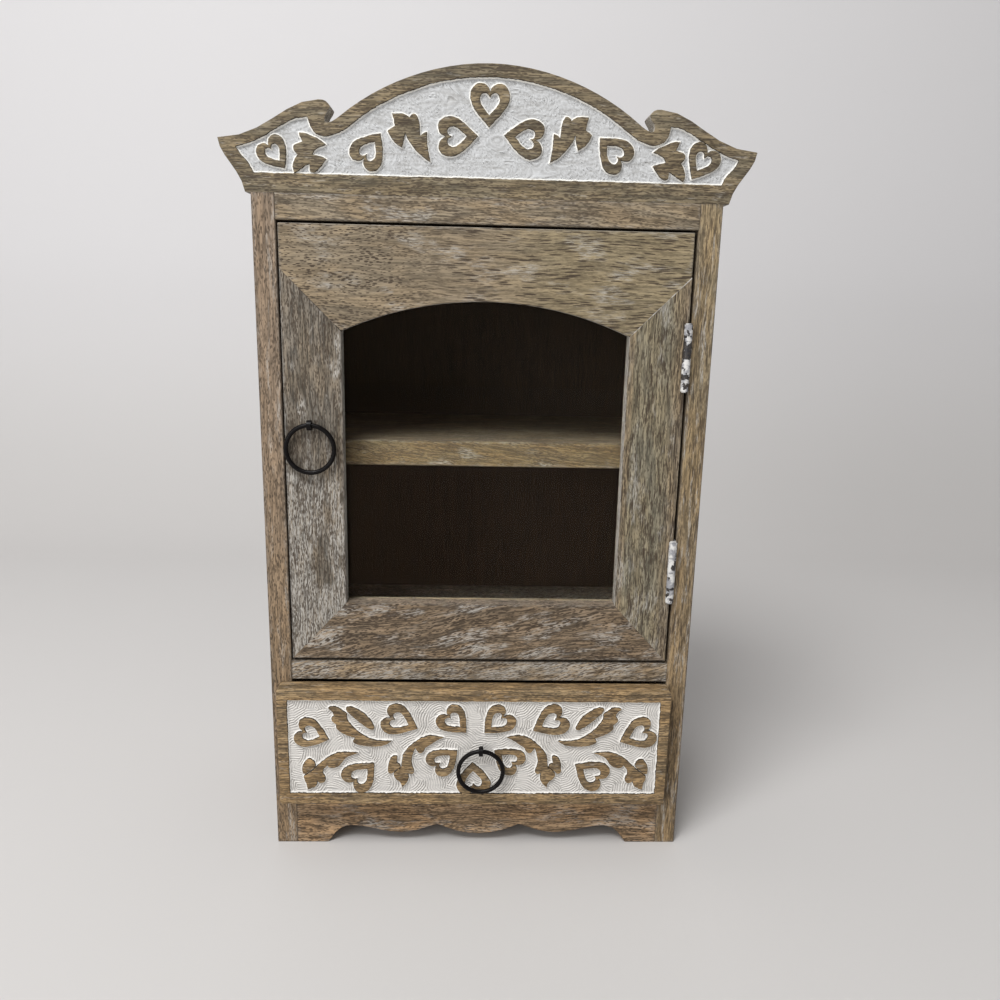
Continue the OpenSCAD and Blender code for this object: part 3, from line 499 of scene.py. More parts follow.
def dress(node, finish, arris=ARRIS):
    """Rounds a board's edges and gives it a finish, in the place of its node."""
    body = frame["nodes"][node]["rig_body"]
    mates = [n for n, o in frame["nodes"].items() if o["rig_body"] == body and n != node]
    nearby = surface_of([n for n in mates if touching(node, n)] or mates[:1])
    work = welded(frame["nodes"][node].data)
    bmesh.ops.dissolve_limit(work, angle_limit=IN_ONE_PLANE, verts=work.verts, edges=work.edges)
    weights = work.edges.layers.float.new("bevel_weight_edge")
    for edge in work.edges:
        if len(edge.link_faces) != 2 or edge.calc_length() < SHORTEST_ARRIS * MM:
            continue
        if not edge.is_convex or edge.calc_face_angle() < SHARP_FROM:
            continue
        if max(v.co.z for v in edge.verts) < ON_THE_TABLE * MM:
            continue
        middle = (edge.verts[0].co + edge.verts[1].co) / 2
        met = nearby.find_nearest(middle, FEEL * MM)[0] is not None
        edge[weights] = JOINT_ARRIS_SHARE if met else 1.0
    piece = built(node + "_dressed", work, finish)
    piece.data.shade_smooth()
    piece.data.set_sharp_from_angle(angle=SHARP_FROM)
    rounding = piece.modifiers.new("arrises", "BEVEL")
    rounding.width = arris * MM
    rounding.limit_method = "WEIGHT"
    rounding.segments = ARRIS_STEPS
    piece.modifiers.new("flat_faces", "WEIGHTED_NORMAL").keep_sharp = True
    settle(piece, node)


def touching(a, b, reach=0.5):
    """Whether two nodes' boxes come within reach, in mm."""
    (a_low, a_high), (b_low, b_high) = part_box(a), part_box(b)
    return all(a_low[i] < b_high[i] + reach * MM and b_low[i] < a_high[i] + reach * MM
               for i in range(3))


def settle(piece, *nodes):
    """The piece rides where its nodes ride, and stands for them."""
    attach(piece, frame["nodes"][nodes[0]]["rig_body"])
    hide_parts(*nodes)


print("dressing rounds free edges by", ARRIS, "mm")

# %% [markdown]
# ## The carcass and the door frame
#
# Grain runs along each board: upright in the sides and stiles, level in the rails.
# The tones come from the real boards. The sides are warm and pinkish, the left stile
# is grey and streaked with wash, the top rail is a clean tan with bold pores, and
# the bottom rail's figure climbs across it.

# %% Board finishes
TAN = (0.262, 0.200, 0.132)
SAND = (0.244, 0.191, 0.126)
ROSY = (0.262, 0.192, 0.132)
SANDY = (0.268, 0.204, 0.120)
GREYED = (0.168, 0.141, 0.108)
OLIVE = (0.216, 0.186, 0.126)
UMBER = (0.200, 0.146, 0.095)
HONEY = (0.184, 0.128, 0.064)
CHESTNUT = (0.322, 0.213, 0.120)
STRAW = (0.262, 0.212, 0.122)
RUSSET = (0.235, 0.140, 0.080)
GINGER = (0.268, 0.178, 0.092)
WHITE_LINE = (0.62, 0.60, 0.57, 1)

left_low, left_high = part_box("door_left_stile")
right_low, right_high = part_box("door_right_stile")
window_top = left_high.z - (left_high.x - left_low.x)
left_seam = (Vector((left_low.x, 0, left_high.z)), Vector((left_high.x, 0, window_top)),
             DUST_AND_SHADE_COLOUR)
right_seam = (Vector((right_low.x, 0, window_top)), Vector((right_high.x, 0, right_high.z)),
              WHITE_LINE)
window_edge = right_low.x / MM
warmer_below = (2, 330, 60, 0.6, GINGER)

carcass_looks = {
    "left_side": dict(grain="z", tone=ROSY, seed=1, wash=0.42, rim=0.5, wave=1.0, pores=0.8,
                      lines=0.5, hue=0.2, patch=4.5, reach=8, tints=(warmer_below,)),
    "right_side": dict(grain="z", tone=SANDY, seed=2, wash=0.50, strength=0.7, rim=0.35, wave=1.0,
                       pores=0.5, lines=0.8, patch=3.5, reach=9, contrast=1.2,
                       tints=(warmer_below,)),
    "top_board": dict(grain="x", tone=SAND, seed=3, wash=0.45, rim=0.5, wave=1.5, slope=0.05,
                      dust_and_shade=0.25, contrast=1.3),
    "divider_board": dict(grain="x", tone=TAN, seed=4, wash=0.95, strength=0.75, rim=0.8, wave=1.5,
                          slope=-0.2, contrast=1.6, pores=0.9),
    "shelf": dict(grain="x", tone=HONEY, seed=5, wash=0.35, rim=0.5, wave=1.5, slope=0.15),
    "apron": dict(grain="x", tone=CHESTNUT, seed=7, wash=0.55, rim=0.4, wave=3.0, contrast=1.8,
                  pores=0.9),
}
door_looks = {
    "door_top_rail": dict(grain="x", tone=SAND, seed=8, wash=0.42, rim=0.5, wave=2.2, pores=1.0,
                          lines=1.0, hue=0.3, returns=0.6, seams=(left_seam, right_seam),
                          tints=((0, -10, 50, 0.6, STRAW),), split=(-60, -10)),
    "door_bottom_rail": dict(grain="x", tone=UMBER, seed=9, wash=0.60, strength=0.75, rim=0.45,
                             wave=5.0, slope=-0.16, contrast=1.5, pores=1.0, lines=0.9, hue=0.3,
                             returns=0.12),
    "door_left_stile": dict(grain="z", tone=GREYED, seed=10, wash=0.72, strength=0.8, rim=0.5,
                            wave=1.0, contrast=1.6, pores=0.9, lines=0.7, low_wash=0.17,
                            returns=0.75, seams=(left_seam,)),
    "door_right_stile": dict(grain="z", tone=OLIVE, seed=11, wash=0.45, rim=0.3, wave=1.0,
                             pores=0.7, lines=1.0, contrast=1.4, low_wash=0.05, returns=0.75,
                             seams=(right_seam,),
                             tints=((0, window_edge + 4.5, window_edge + 2.5, 0.3, CHESTNUT),
                                    (0, window_edge + 22, window_edge + 32, 0.3, RUSSET))),
}
for node, look in {**carcass_looks, **door_looks}.items():
    dress(node, weathered_wood(node, **look))
print("dressed", len(carcass_looks) + len(door_looks), "whitewashed boards")

# %% [markdown]
# ## The carved boards: finding the outlines
#
# The pediment and the drawer front are cut in low relief. A knife follows each
# outline, a gouge clears the ground between the motifs, and white paint fills the
# ground while the motifs stay bare. The frame's boards hold the flat version of that
# drawing, so the outlines are read from their flat fronts: an edge with only one
# flat triangle beside it lies on an outline. Curves are drawn smooth again, and
# real corners, such as a heart's point, stay sharp.

# %% Outlines of a carved front
CORNER = math.cos(math.radians(42))
KNIFE_STEP = 0.45
ON_THE_FRONT = 0.01


def front_outlines(mesh):
    """The closed outlines of a board's flat front, as x and z in mm, the longest first."""
    points = np.array([v.co for v in mesh.vertices]) / MM
    flat = points[:, 1] < points[:, 1].min() + ON_THE_FRONT
    neighbours, uses = {}, {}
    for face in mesh.polygons:
        if all(flat[i] for i in face.vertices):
            ring = [tuple(points[i][[0, 2]].round(3)) for i in face.vertices]
            for pair in zip(ring, ring[1:] + ring[:1]):
                uses[frozenset(pair)] = uses.get(frozenset(pair), 0) + 1
    for pair in [tuple(p) for p, count in uses.items() if count == 1]:
        for a, b in (pair, pair[::-1]):
            neighbours.setdefault(a, []).append(b)
    loops, met = [], set()
    for start in sorted(neighbours):
        if start in met:
            continue
        loop, here = [start], start
        met.add(start)
        while True:
            onward = [p for p in neighbours[here] if p not in met]
            if not onward:
                break
            here = onward[0]
            met.add(here)
            loop.append(here)
        loops.append(np.array(loop))
    return sorted(loops, key=lambda loop: -np.ptp(loop, axis=0).prod())


def unit(vectors):
    """The same ways, each one unit long."""
    return vectors / np.maximum(np.linalg.norm(vectors, axis=1, keepdims=True), 1e-9)


def redrawn(loop, step, curved=True):
    """The outline in short steps, bending smoothly except at real corners."""
    before, after = np.roll(loop, 1, axis=0), np.roll(loop, -1, axis=0)
    arrive, leave = unit(loop - before), unit(after - loop)
    corner = (arrive * leave).sum(axis=1) < CORNER
    tangent = unit(arrive + leave)
    drawn = []
    for i, start in enumerate(loop):
        j = (i + 1) % len(loop)
        length = np.linalg.norm(loop[j] - start)
        parts = max(1, round(length / step))
        straight = leave[i]
        t0 = straight if corner[i] or not curved else tangent[i]
        t1 = straight if corner[j] or not curved else tangent[j]
        for t in np.arange(parts) / parts:
            drawn.append((2 * t**3 - 3 * t**2 + 1) * start + (3 * t**2 - 2 * t**3) * loop[j]
                         + length * ((t**3 - 2 * t**2 + t) * t0 + (t**3 - t**2) * t1))
    return np.array(drawn)


def inside(points, loops):
    """How many of the outlines lie round each point."""
    count = np.zeros(len(points), int)
    for loop in loops:
        crossings = np.zeros(len(points), int)
        for a, b in zip(loop, np.roll(loop, -1, axis=0)):
            spans = (points[:, 1] < a[1]) != (points[:, 1] < b[1])
            if spans.any():
                x = a[0] + (points[spans, 1] - a[1]) * (b[0] - a[0]) / (b[1] - a[1])
                crossings[np.nonzero(spans)[0]] += x > points[spans, 0]
        count += crossings % 2
    return count


for node in ("pediment", "drawer_front"):
    print(node, "has", len(front_outlines(frame["nodes"][node].data)) - 2, "carved outlines")

# %% [markdown]
# ## The carved boards: cutting the relief
#
# The relief is a height field: for each point of the front, how deep the tools went.
# It depends mostly on the distance from the nearest outline. The top is flat and
# turns over a little at its edge, the knife wall drops steeply, paint stands in a
# bead along its foot, and then comes the rippled ground. Points are laid along those
# lines and in a grid between them, joined into triangles, and lifted to height.
#
# A hand doesn't cut a perfect curve, so each outline is frayed first. Where two
# outlines run closer together than a wall is wide, the foot of one wall would land
# on the next motif. Such a point stays shallow.

# %% Relief of a carved front
# Depths, and how far from an outline the edge, wall, bead and slope lie, in mm.
GROUND_DEPTH = 1.6
EDGE_DROP, EDGE_RUN = 0.14, 0.5
WALL_FOOT, WALL_RUN = 1.20, 0.28
BEAD_RUN, BEAD_WIDE = 0.70, 0.30
SLOPE_RUN = 1.30
RIPPLES_FROM, RIPPLES_FADE = 0.3, 0.7
ARC_RADIUS = 14
# How a hand strays: how far, and over what length.
RAGGED, TEAR_LENGTH = 0.20, 1.5
JOG, JOG_LENGTH = 0.28, 6
# The rows of points along an outline, the steps between points, and the room they keep.
ROWS = (-EDGE_RUN, -EDGE_RUN / 2, 0.45, BEAD_RUN, 0.95, SLOPE_RUN)
RIM_ROWS = (0.3, 0.65, 1.0)
TOP_STEP, RIM_STEP = 3.0, 1.0
ROW_FITS, RIM_ROW_FITS, SLIT = 0.88, 0.9, 0.7
GROUND_CLEAR, TOP_CLEAR, RIM_CLEAR = SLOPE_RUN + 0.2, 0.9, 0.5
ASTRAY, SAME_SPOT = 0.45, 1e-4


def ground_normals(loop, ground_within):
    """At each point of an outline, the way to the ground, longer at corners."""
    arrive = unit(loop - np.roll(loop, 1, axis=0))
    leave = unit(np.roll(loop, -1, axis=0) - loop)
    left = unit(np.stack([-(arrive + leave)[:, 1], (arrive + leave)[:, 0]], axis=1))
    square = np.stack([-leave[:, 1], leave[:, 0]], axis=1)
    reach = 1 / np.clip((left * square).sum(axis=1), 0.45, 1)
    x, z = loop.T
    turns_left = (x * np.roll(z, -1) - z * np.roll(x, -1)).sum() > 0
    return left * reach[:, None] * (1 if turns_left == ground_within else -1)


def frayed(cut, ground_within):
    """The outline as a hand cuts it: small tears and slow jogs."""
    wander = np.array([RAGGED * noise.noise(Vector((x / TEAR_LENGTH, z / TEAR_LENGTH, 3)))
                       + JOG * noise.noise(Vector((x / JOG_LENGTH, z / JOG_LENGTH, 8)))
                       for x, z in cut])
    return cut + unit(ground_normals(cut, ground_within)) * wander[:, None]


def gouge_ripples(points, patch, wavelength, depth):
    """Ridges left by a small gouge: arcs that change direction from patch to patch."""
    heights = np.empty(len(points))
    for i, (x, z) in enumerate(points):
        spots = noise.voronoi(Vector((x / patch, z / patch, 0)))[1]
        turn = 6.3 * noise.noise(spots[0] * 3.1) + 0.4
        centre = spots[0] * patch + Vector((math.cos(turn), math.sin(turn), 0)) * ARC_RADIUS
        away = math.hypot(x - centre[0], z - centre[1])
        waver = 0.7 * noise.noise(Vector((x / 5, z / 5, 7)))
        firm = min(1, max(0.25, 0.7 + 1.1 * noise.noise(Vector((x / 8, z / 8, 4)))))
        heights[i] = firm * math.sin(2 * math.pi * (away + waver) / wavelength)
    return heights * depth


def chisel_strokes(points, depth):
    """Long uneven strokes of a broad gouge, whose direction drifts slowly."""
    heights = np.empty(len(points))
    for i, (x, z) in enumerate(points):
        lean = 0.25 + 1.9 * noise.noise(Vector((x / 26, z / 15, 2)))
        along = x * math.cos(lean) + z * math.sin(lean)
        across = z * math.cos(lean) - x * math.sin(lean)
        heights[i] = (noise.noise(Vector((along / 10, across / 3.0, 5)))
                      + 0.35 * noise.noise(Vector((along / 6, across / 1.6, 9))))
    return heights * depth


def search_tree(points):
    """Points of the front, ready for finding the nearest."""
    tree = KDTree(len(points))
    for i, point in enumerate(points):
        tree.insert((*point, 0), i)
    tree.balance()
    return tree


def distance(points, tree):
    """How far each point lies from the nearest one in the tree."""
    return np.array([tree.find((*point, 0))[2] for point in points])


def relief(node, ripple, ground_step, bead, edge_round):
    """A cut front in mm: points, depths, ground faces, edge distances, ripples and triangles."""
    outer, *carved = front_outlines(frame["nodes"][node].data)
    rim = redrawn(outer, RIM_STEP, curved=False)
    cuts = [redrawn(loop, KNIFE_STEP) for loop in carved]
    nesting = [int(inside(cut[:1], cuts[:i] + cuts[i + 1:])[0]) for i, cut in enumerate(cuts)]
    cuts = [frayed(cut, level % 2 == 0) for cut, level in zip(cuts, nesting)]
    spots, depths, ground, joins = [], [], [], []

    def lay(points, depth, is_ground, closed=False):
        """Adds a row of points at a depth, joined into a ring if it is closed."""
        first = len(spots)
        spots.extend(map(tuple, points))
        depths.extend(np.broadcast_to(depth, len(points)))
        ground.extend(np.broadcast_to(is_ground, len(points)))
        if closed:
            joins.extend((first + i, first + (i + 1) % len(points)) for i in range(len(points)))

    samples, rim_tree = search_tree(np.concatenate(cuts)), search_tree(rim)
    lay(rim, edge_round, False, closed=True)
    inward = ground_normals(rim, True)
    for share in RIM_ROWS:
        row = rim + inward * share * edge_round
        fits = distance(row, rim_tree) > RIM_ROW_FITS * share * edge_round
        lay(row[fits], edge_round * (1 - math.sqrt(1 - (1 - share) ** 2)), False)
    for cut, level in zip(cuts, nesting):
        way = ground_normals(cut, level % 2 == 0)
        lay(cut, EDGE_DROP, False, closed=True)
        foot = cut + way * WALL_RUN
        crossed = distance(foot, samples) < SLIT * WALL_RUN
        lay(foot, np.where(crossed, EDGE_DROP, WALL_FOOT), ~crossed, closed=True)
        for run in ROWS:
            row = cut + unit(way) * run
            row = row[distance(row, samples) > ROW_FITS * abs(run)]
            if run < 0:
                lay(row, EDGE_DROP * (1 + run / EDGE_RUN) ** 2, False)
            else:
                sunk = math.sin((run - WALL_RUN) / (SLOPE_RUN - WALL_RUN) * math.pi / 2)
                lay(row, WALL_FOOT + (GROUND_DEPTH - WALL_FOOT) * sunk, True)

    low, high = outer.min(axis=0), outer.max(axis=0)
    for step, level, clear in ((ground_step, 1, GROUND_CLEAR), (TOP_STEP, 0, TOP_CLEAR)):
        grid = np.stack(np.meshgrid(np.arange(low[0], high[0], step),
                                    np.arange(low[1], high[1], step)), axis=2).reshape(-1, 2)
        grid = grid[inside(grid, [outer]) == 1]
        grid = grid[inside(grid, carved) % 2 == level]
        grid = grid[distance(grid, samples) > clear]
        if not level:
            grid = grid[distance(grid, rim_tree) > edge_round + RIM_CLEAR]
        lay(grid, GROUND_DEPTH if level else 0.0, bool(level))

    spots, depths, ground = np.array(spots), np.array(depths, float), np.array(ground)
    away = distance(spots, samples)
    dug = inside(spots, carved) % 2 == 1
    depths[ground & ~dug & (away > ASTRAY)] = 0.0
    depths[~ground & dug & (away > ASTRAY)] = GROUND_DEPTH
    ground = np.where(away > ASTRAY, dug, ground)
    grown = np.clip((away - RIPPLES_FROM) / RIPPLES_FADE, 0, 1)
    waves = np.where(ground, ripple(spots) * grown, 0)
    depths += waves - np.where(ground, bead * np.exp(-((away - BEAD_RUN) / BEAD_WIDE) ** 2), 0)
    corners, _, triangles, origins, _, _ = delaunay_2d_cdt(
        [Vector(map(float, p)) for p in spots], joins, [], 0, SAME_SPOT, True)
    corners = np.array([tuple(c) for c in corners])
    every_spot = search_tree(spots)
    pick = np.array([origin[0] if origin else every_spot.find((*corner, 0))[1]
                     for origin, corner in zip(origins, corners)])
    triangles = np.array([t for t in triangles if len(t) == 3])
    triangles = triangles[inside(corners[triangles].mean(axis=1), [rim]) == 1]
    painted = ground[pick][triangles].any(axis=1)
    edges = np.where(ground, away, 0.0)[pick]
    return corners, depths[pick], painted, edges, waves[pick], triangles


print("a ground", GROUND_DEPTH, "mm deep behind knife walls of", WALL_FOOT, "mm")

# %% [markdown]
# ## The carved boards: joining front and body
#
# Only the front needs the fine mesh. The rest of the board, its sides, back and
# screw holes, is the frame's own: its carved faces are cut away, and the rim that
# is left gets the new front's points, steps back to meet its rounded edge, and is
# sewn to it. A closed skin has no open edges, so the cell prints how many the
# sewing left.

# %% Carved board
DEPTH_MARGIN = 0.05
SEWING = 0.004
TOO_THIN = 0.001
CREASE_FROM = math.radians(50)
ON_OUTLINE = 0.02
SQUARE_ON = 0.999


def carve(node, top_finish, ground_finish, ripple, ground_step, bead, edge_round=0.7):
    """Makes a carved board: a cut front on the frame's own sides and back."""
    corners, depths, ground, edges, waves, triangles = relief(node, ripple, ground_step, bead,
                                                              edge_round)
    work = welded(frame["nodes"][node].data)
    front = min(v.co.y for v in work.verts)
    outer = front_outlines(frame["nodes"][node].data)[0]
    carved_faces = [f for f in work.faces
                    if max(v.co.y for v in f.verts) < front + (GROUND_DEPTH + DEPTH_MARGIN) * MM]
    middles = np.array([f.calc_center_median() for f in carved_faces])[:, [0, 2]] / MM
    hollow = [f for f, within in zip(carved_faces, inside(middles, [outer]))
              if within and not all(on_outline(v.co, outer * MM) for v in f.verts)
              or abs(f.normal.y) > SQUARE_ON]
    bmesh.ops.delete(work, geom=hollow, context="FACES")
    flat = front + ON_THE_FRONT * MM
    for side in [e for e in work.edges if all(v.co.y < flat for v in e.verts)]:
        cuts = round(side.calc_length() / (RIM_STEP * MM)) - 1
        if cuts > 0:
            bmesh.ops.subdivide_edges(work, edges=[side], cuts=cuts)
    for vertex in work.verts:
        if vertex.co.y < flat:
            vertex.co.y = front + edge_round * MM
    edge_mm = work.verts.layers.float.new("edge_mm")
    hollow_mm = work.verts.layers.float.new("hollow_mm")
    made = [work.verts.new((x * MM, front + deep * MM, z * MM))
            for (x, z), deep in zip(corners, depths)]
    for vertex, away, wave in zip(made, edges, waves):
        vertex[edge_mm] = away
        vertex[hollow_mm] = wave
    for (a, b, c), is_ground in zip(triangles, ground):
        try:
            face = work.faces.new((made[a], made[b], made[c]))
        except ValueError:
            continue
        face.material_index = int(is_ground)
        if face.normal.y > 0:
            face.normal_flip()
    loose = [v for v in work.verts if not v.link_faces]
    bmesh.ops.delete(work, geom=loose, context="VERTS")
    rims = [v for v in work.verts if v.is_boundary]
    bmesh.ops.remove_doubles(work, verts=rims, dist=SEWING * MM)
    bmesh.ops.dissolve_degenerate(work, dist=TOO_THIN * MM, edges=work.edges)
    print(node, "has", sum(e.is_boundary for e in work.edges), "open edges")
    for face in work.faces:
        face.smooth = True
    for edge in work.edges:
        if len(edge.link_faces) == 2 and edge.calc_face_angle(0) > CREASE_FROM:
            edge.smooth = False
    settle(built(node + "_carved", work, top_finish, ground_finish), node)


def on_outline(point, outline):
    """Whether a point of the mesh stands on the board's outer outline."""
    a, b = outline, np.roll(outline, -1, axis=0)
    here = np.array([point.x, point.z])
    share = np.clip(((here - a) * (b - a)).sum(axis=1) / ((b - a) ** 2).sum(axis=1), 0, 1)
    off = np.linalg.norm(a + share[:, None] * (b - a) - here, axis=1)
    return off.min() < ON_OUTLINE * MM


print("sews the rims together within", SEWING, "mm")

# %% [markdown]
# ## Paint in the carved ground
#
# The ground is thick chalky paint over raw gouge cuts. It misses the top of the
# knife wall here and there, which leaves bare wood, painted near black as its shade
# too: a broken dark line round each motif. It gathers into a bead at the wall's
# foot, painted brighter as heaped paint and as a highlight. The cut front knows how
# far each of its points lies from an outline and how deep the gouge went there, and
# the recipe reads both: in the hollows the paint is thinner and greyer, a grey that
# is painted shade as well.

# %% Carved finishes
# Thin paint in streaks, and painted shade in the hollows of the ripples.
THIN_PAINT_AND_SHADE = (0.36, 0.355, 0.345, 1)
# Near black: bare wood of the knife wall, darkened further as painted shade.
BARE_WALL_AND_SHADE_COLOUR = (0.026, 0.017, 0.010, 1)
# The ridge colours are heaped paint at the wall's foot, brightened as a painted highlight.
PEDIMENT_PAINT, PEDIMENT_BEAD_HIGHLIGHT = (0.60, 0.61, 0.62, 1), (0.90, 0.88, 0.83, 1)
DRAWER_PAINT, DRAWER_BEAD_HIGHLIGHT = (0.76, 0.73, 0.69, 1), (0.95, 0.93, 0.89, 1)
OAK = (0.188, 0.150, 0.094)
AMBER = (0.284, 0.195, 0.101)
PAINT_DEPTH, TOP_DEPTH = 0.10, 0.06


def carved_ground(node, paint, bead_highlight_colour, bare, thin_long, thin_share, hollow, hollow_shade_share):
    """White paint, greyer in streaks; painted shade in hollows, a painted highlight on the bead,
    and a near-black knife wall of bare wood and painted shade; in mm.
    """
    recipe = Recipe("ground_paint_" + node)
    away = recipe.add("Attribute", "Fac", attribute_name="edge_mm")
    ragged = recipe.reckon("MULTIPLY_ADD", recipe.lumps(1.5), 0.40, away)
    fields = recipe.cloud(recipe.place("xyz", (9, 6, 2)), 3.0, 0.6)
    thin = recipe.ramp(fields, 0.44, 0.66, 0.0, thin_share)
    strokes = recipe.streaks(recipe.place("xzy"), thin_long, 1.2, 3.0, 0.6)
    colour = recipe.blend(recipe.product(thin, recipe.ramp(strokes, 0.42, 0.60)), paint, THIN_PAINT_AND_SHADE)
    depth = recipe.add("Attribute", "Fac", attribute_name="hollow_mm")
    # Painted shade: the deeper the ripple, the greyer the paint.
    hollow_shade = recipe.ramp(depth, -hollow, hollow, 0.0, hollow_shade_share)
    colour = recipe.blend(hollow_shade, colour, THIN_PAINT_AND_SHADE)
    # Painted highlight: the bead at the wall's foot is brighter, as heaped paint catching the
    # light.
    bead_highlight_mask = recipe.product(recipe.ramp(away, 0.60, 1.05, 1.0, 0.0),
                            recipe.ramp(recipe.lumps(5, 3.0), 0.35, 0.55, 0.55, 1.0))
    colour = recipe.blend(bead_highlight_mask, colour, bead_highlight_colour)
    # Bare wood at the top of each knife wall, painted near black as its shade too.
    colour = recipe.blend(recipe.ramp(ragged, bare, bare + 0.10), BARE_WALL_AND_SHADE_COLOUR, colour)
    normal = recipe.bump(recipe.streaks(recipe.place("xzy"), thin_long / 3, 0.8), PAINT_DEPTH)
    return recipe.finish(colour, 0.82, normal, Specular_IOR_Level=0.25)


def carved_top(node, tone, seed, wash=0.3, sides=0.0, **figure):
    """The bare tops of the motifs and the border, and the board's sides."""
    recipe = Recipe("carved_top_" + node)
    colour, pore, fibre, bent = wood_layers(recipe, "x", tone, seed, **figure)
    white = recipe.ramp(recipe.streaks(bent, 9, 2.0, 3.0, 0.6), 0.58, 0.72, 0.0, wash)
    if sides:
        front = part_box(node)[0].y / MM
        turned_away = recipe.ramp(recipe.facing(), 0.5, 0.97, sides, 0.0)
        behind_edge = recipe.ramp(recipe.axis(1), front + 0.02, front + 0.2)
        uneven = recipe.ramp(recipe.streaks(bent, 9, 1.6, 3.0, 0.6), 0.38, 0.6, 0.4, 1.0)
        side = recipe.product(recipe.product(turned_away, behind_edge), uneven)
        white = recipe.reckon("MAXIMUM", white, side)
    colour = recipe.blend(white, colour, WASH_COLOUR)
    colour = recipe.blend(recipe.product(pore, 0.8), colour, PORE_COLOUR)
    normal = recipe.bump(recipe.reckon("SUBTRACT", fibre, pore), TOP_DEPTH)
    return recipe.finish(colour, 0.7, normal, Specular_IOR_Level=WOOD_SHINE)


carve("pediment",
      carved_top("pediment", OAK, 12, sides=0.85, wave=1.5, pores=1.0, lines=0.9, contrast=1.4),
      carved_ground("pediment", PEDIMENT_PAINT, PEDIMENT_BEAD_HIGHLIGHT, bare=0.34, thin_long=14,
                    thin_share=0.7, hollow=0.30, hollow_shade_share=0.6),
      ripple=lambda points: chisel_strokes(points, depth=0.55),
      ground_step=0.55, bead=0.22, edge_round=0.3)
carve("drawer_front",
      carved_top("drawer_front", AMBER, 13, wave=1.2, pores=0.9, lines=0.8, contrast=1.5),
      carved_ground("drawer_front", DRAWER_PAINT, DRAWER_BEAD_HIGHLIGHT, bare=0.37, thin_long=4,
                    thin_share=0.35, hollow=0.24, hollow_shade_share=0.62),
      ripple=lambda points: gouge_ripples(points, patch=12, wavelength=1.5, depth=0.40),
      ground_step=0.42, bead=0.30)
print("carved 2 boards")

# %% [markdown]
# ## Bare wood inside
#
# Nobody painted the inside. The drawer box is of pale softwood, and the floor of the
# drawer and the back are thin plywood. The back is stained dark and made near black
# as painted shade inside the cupboard, so that the cupboard looks deep. The strips that
# hold the glass are plain too. One quieter recipe serves them all: the same grain,
# without the wash.

# %% Plain woods
SOFTWOOD = (0.47, 0.34, 0.215)
PLYWOOD = (0.40, 0.285, 0.175)
# Dark stain, made near black as painted shade inside the cupboard.
DARK_STAIN_AND_SHADE = (0.030, 0.018, 0.010)
PLAIN_PORE_TONE = 0.35
PLAIN_DEPTH = 0.05
PLAIN_ARRIS = 0.5
FIRST_PLAIN_SEED = 20


def plain_wood(node, grain, tone, seed, **figure):
    """Unpainted wood, a little darker in its few pores."""
    recipe = Recipe("plain_" + node)
    colour, pore, fibre, _ = wood_layers(recipe, grain, tone, seed, pores=0.35, **figure)
    dark = tuple(c * PLAIN_PORE_TONE for c in tone) + (1,)
    colour = recipe.blend(pore, colour, dark)
    normal = recipe.bump(recipe.reckon("SUBTRACT", fibre, pore), PLAIN_DEPTH)
    return recipe.finish(colour, 0.7, normal, Specular_IOR_Level=WOOD_SHINE)


plain_looks = {
    # The back's near-black tone is painted shade inside the cupboard as well as stain.
    "back_panel": dict(grain="z", tone=DARK_STAIN_AND_SHADE, contrast=0.8),
    "bottom_board": dict(grain="x", tone=PLYWOOD),
    "drawer_inner_front": dict(grain="x", tone=SOFTWOOD, wave=1.0),
    "drawer_left": dict(grain="y", tone=SOFTWOOD, wave=1.0),
    "drawer_right": dict(grain="y", tone=SOFTWOOD, wave=1.0),
    "drawer_back": dict(grain="x", tone=SOFTWOOD, wave=1.0),
    "drawer_bottom": dict(grain="y", tone=PLYWOOD, wave=2.5),
    "glass_bead_top": dict(grain="x", tone=TAN),
    "glass_bead_bottom": dict(grain="x", tone=TAN),
    "glass_bead_left": dict(grain="z", tone=TAN),
    "glass_bead_right": dict(grain="z", tone=TAN),
}
for seed, (node, look) in enumerate(plain_looks.items(), FIRST_PLAIN_SEED):
    dress(node, plain_wood(node, seed=seed, **look), arris=PLAIN_ARRIS)
print("dressed", len(plain_looks), "plain boards")

# %% [markdown]
# ## Glass
#
# The pane is ordinary clear glass. Light must pass through it to reach the shelf,
# but a renderer treats glass as solid for shadows, so rays that test for shadow are
# let straight through with a slight grey tint. In a studio this pale, the pane's own
# reflection would veil the dark inside. The glass therefore bends light less than
# real glass does, and so it reflects less.

# %% Glass pane
GLASS_COLOUR = (0.93, 0.95, 0.94, 1)
REFLECTION_TINT = (1.0, 0.66, 0.45, 1)
SHADOW_TINT = (0.90, 0.91, 0.90, 1)
GLASS_BENDING = 1.18
GLASS_ARRIS = 0.3


def window_glass():
    """Clear glass that lets the lamps through."""
    recipe = Recipe("window_glass")
    recipe.finish(GLASS_COLOUR, 0.02, Transmission_Weight=1.0, IOR=GLASS_BENDING,
                  Specular_Tint=REFLECTION_TINT)
    clear = recipe.add("BsdfTransparent", inputs={"Color": SHADOW_TINT})
    shadow_ray = recipe.add("LightPath", "Is Shadow Ray")
    both = recipe.add("MixShader", inputs={0: shadow_ray, 1: recipe.shader.outputs[0], 2: clear})
    recipe.tree.links.new(both, recipe.tree.nodes["Material Output"].inputs["Surface"])
    return recipe.material


dress("glass_pane", window_glass(), arris=GLASS_ARRIS)
print("glazed the door")

# %% [markdown]
# ## Metal
#
# The rings and their pins are black iron wire with a worn gloss. The hinges were
# already on when the cabinet was painted, so white paint chips off dark steel, more
# on one knuckle than on the next. The small screws and brads are plain steel.

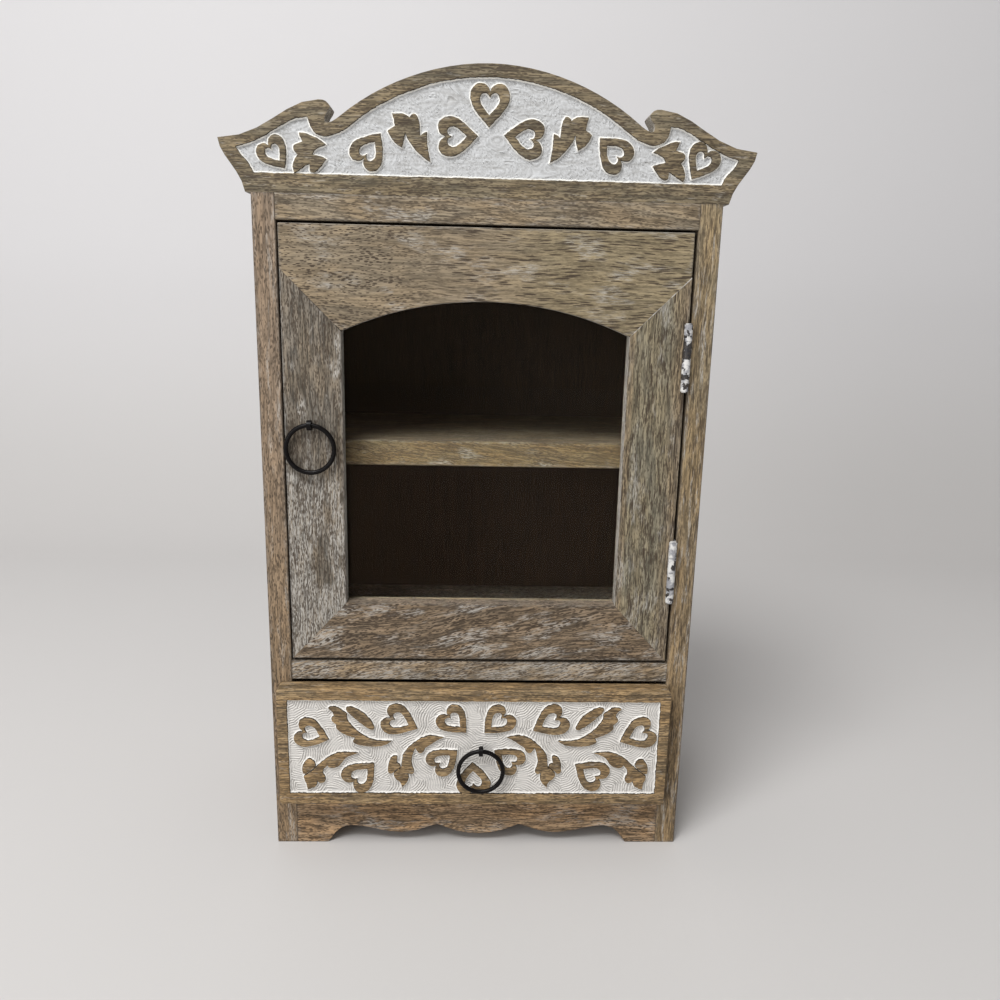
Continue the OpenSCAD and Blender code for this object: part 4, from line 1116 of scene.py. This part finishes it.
# %% Metal finishes
IRON_COLOUR = (0.004, 0.003, 0.003, 1)
RUST_DARK, RUST_BROWN = (0.022, 0.021, 0.024, 1), (0.060, 0.050, 0.042, 1)
PAINT_DIRTY, PAINT_CLEAN = (0.30, 0.30, 0.32, 1), (0.68, 0.67, 0.65, 1)


def black_iron():
    """Iron wire whose gloss is smeared and whose skin is a little uneven."""
    recipe = Recipe("black_iron")
    rough = recipe.ramp(recipe.lumps(2.5), 0.3, 0.7, 0.26, 0.44)
    normal = recipe.bump(recipe.lumps(0.9), 0.03)
    return recipe.finish(IRON_COLOUR, rough, normal, Specular_IOR_Level=0.14)


def chipped_hinge(name, leaf, shares):
    """Paint over steel, with a share of paint for each knuckle from the top."""
    recipe = Recipe(name)
    low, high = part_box(leaf)
    knuckle = (high.z - low.z) / MM / len(shares)
    share = shares[0] - 0.5
    for i, (above, below) in enumerate(zip(shares, shares[1:]), 1):
        line = high.z / MM - i * knuckle
        change = recipe.ramp(recipe.axis(2), line - 0.3, line + 0.3, below - above, 0.0)
        share = recipe.sum(change, share)
    chips = recipe.sum(recipe.lumps(5.0, 3.0, 0.55), share)
    paint = recipe.ramp(chips, 0.485, 0.505)
    rust = recipe.blend(recipe.ramp(recipe.lumps(1, 3.0), 0.4, 0.65), RUST_DARK, RUST_BROWN)
    coat = recipe.blend(recipe.ramp(recipe.lumps(3, 3.0), 0.40, 0.62), PAINT_DIRTY, PAINT_CLEAN)
    rough = recipe.ramp(paint, 0, 1, 0.42, 0.62)
    normal = recipe.bump(paint, 0.15)
    return recipe.finish(recipe.blend(paint, rust, coat), rough, normal)


def steel(name, colour, roughness):
    """Plain steel."""
    return Recipe(name).finish(colour, roughness, Metallic=1.0)


iron = black_iron()
upper_paint = chipped_hinge("chipped_upper_hinge", "upper_hinge_door_leaf",
                            (0.54, 0.42, 0.57, 0.48))
lower_paint = chipped_hinge("chipped_lower_hinge", "lower_hinge_door_leaf",
                            (0.60, 0.53, 0.60, 0.55))
bright_steel = steel("bright_steel", (0.55, 0.54, 0.52, 1), 0.35)
dull_steel = steel("dull_steel", (0.30, 0.29, 0.28, 1), 0.5)
white_plastic = Recipe("catch_plastic").finish((0.62, 0.60, 0.56, 1), 0.45)
dark_magnet = Recipe("magnet").finish((0.05, 0.05, 0.055, 1), 0.4)
metals = {
    "_ring": iron, "_split_pin": iron, "upper_hinge": upper_paint, "lower_hinge": lower_paint,
    "catch_case": white_plastic, "catch_magnet": dark_magnet, "strike_plate": bright_steel,
    "_screws": bright_steel, "_brads": dull_steel, "_tacks": dull_steel, "_pins": dull_steel,
}
fittings = {node: metal for part, metal in metals.items()
            for node in frame["nodes"] if part in node}
for node, metal in fittings.items():
    mesh = frame["nodes"][node].data
    mesh.materials.clear()
    mesh.materials.append(metal)
print("gave", len(fittings), "fittings their metal")
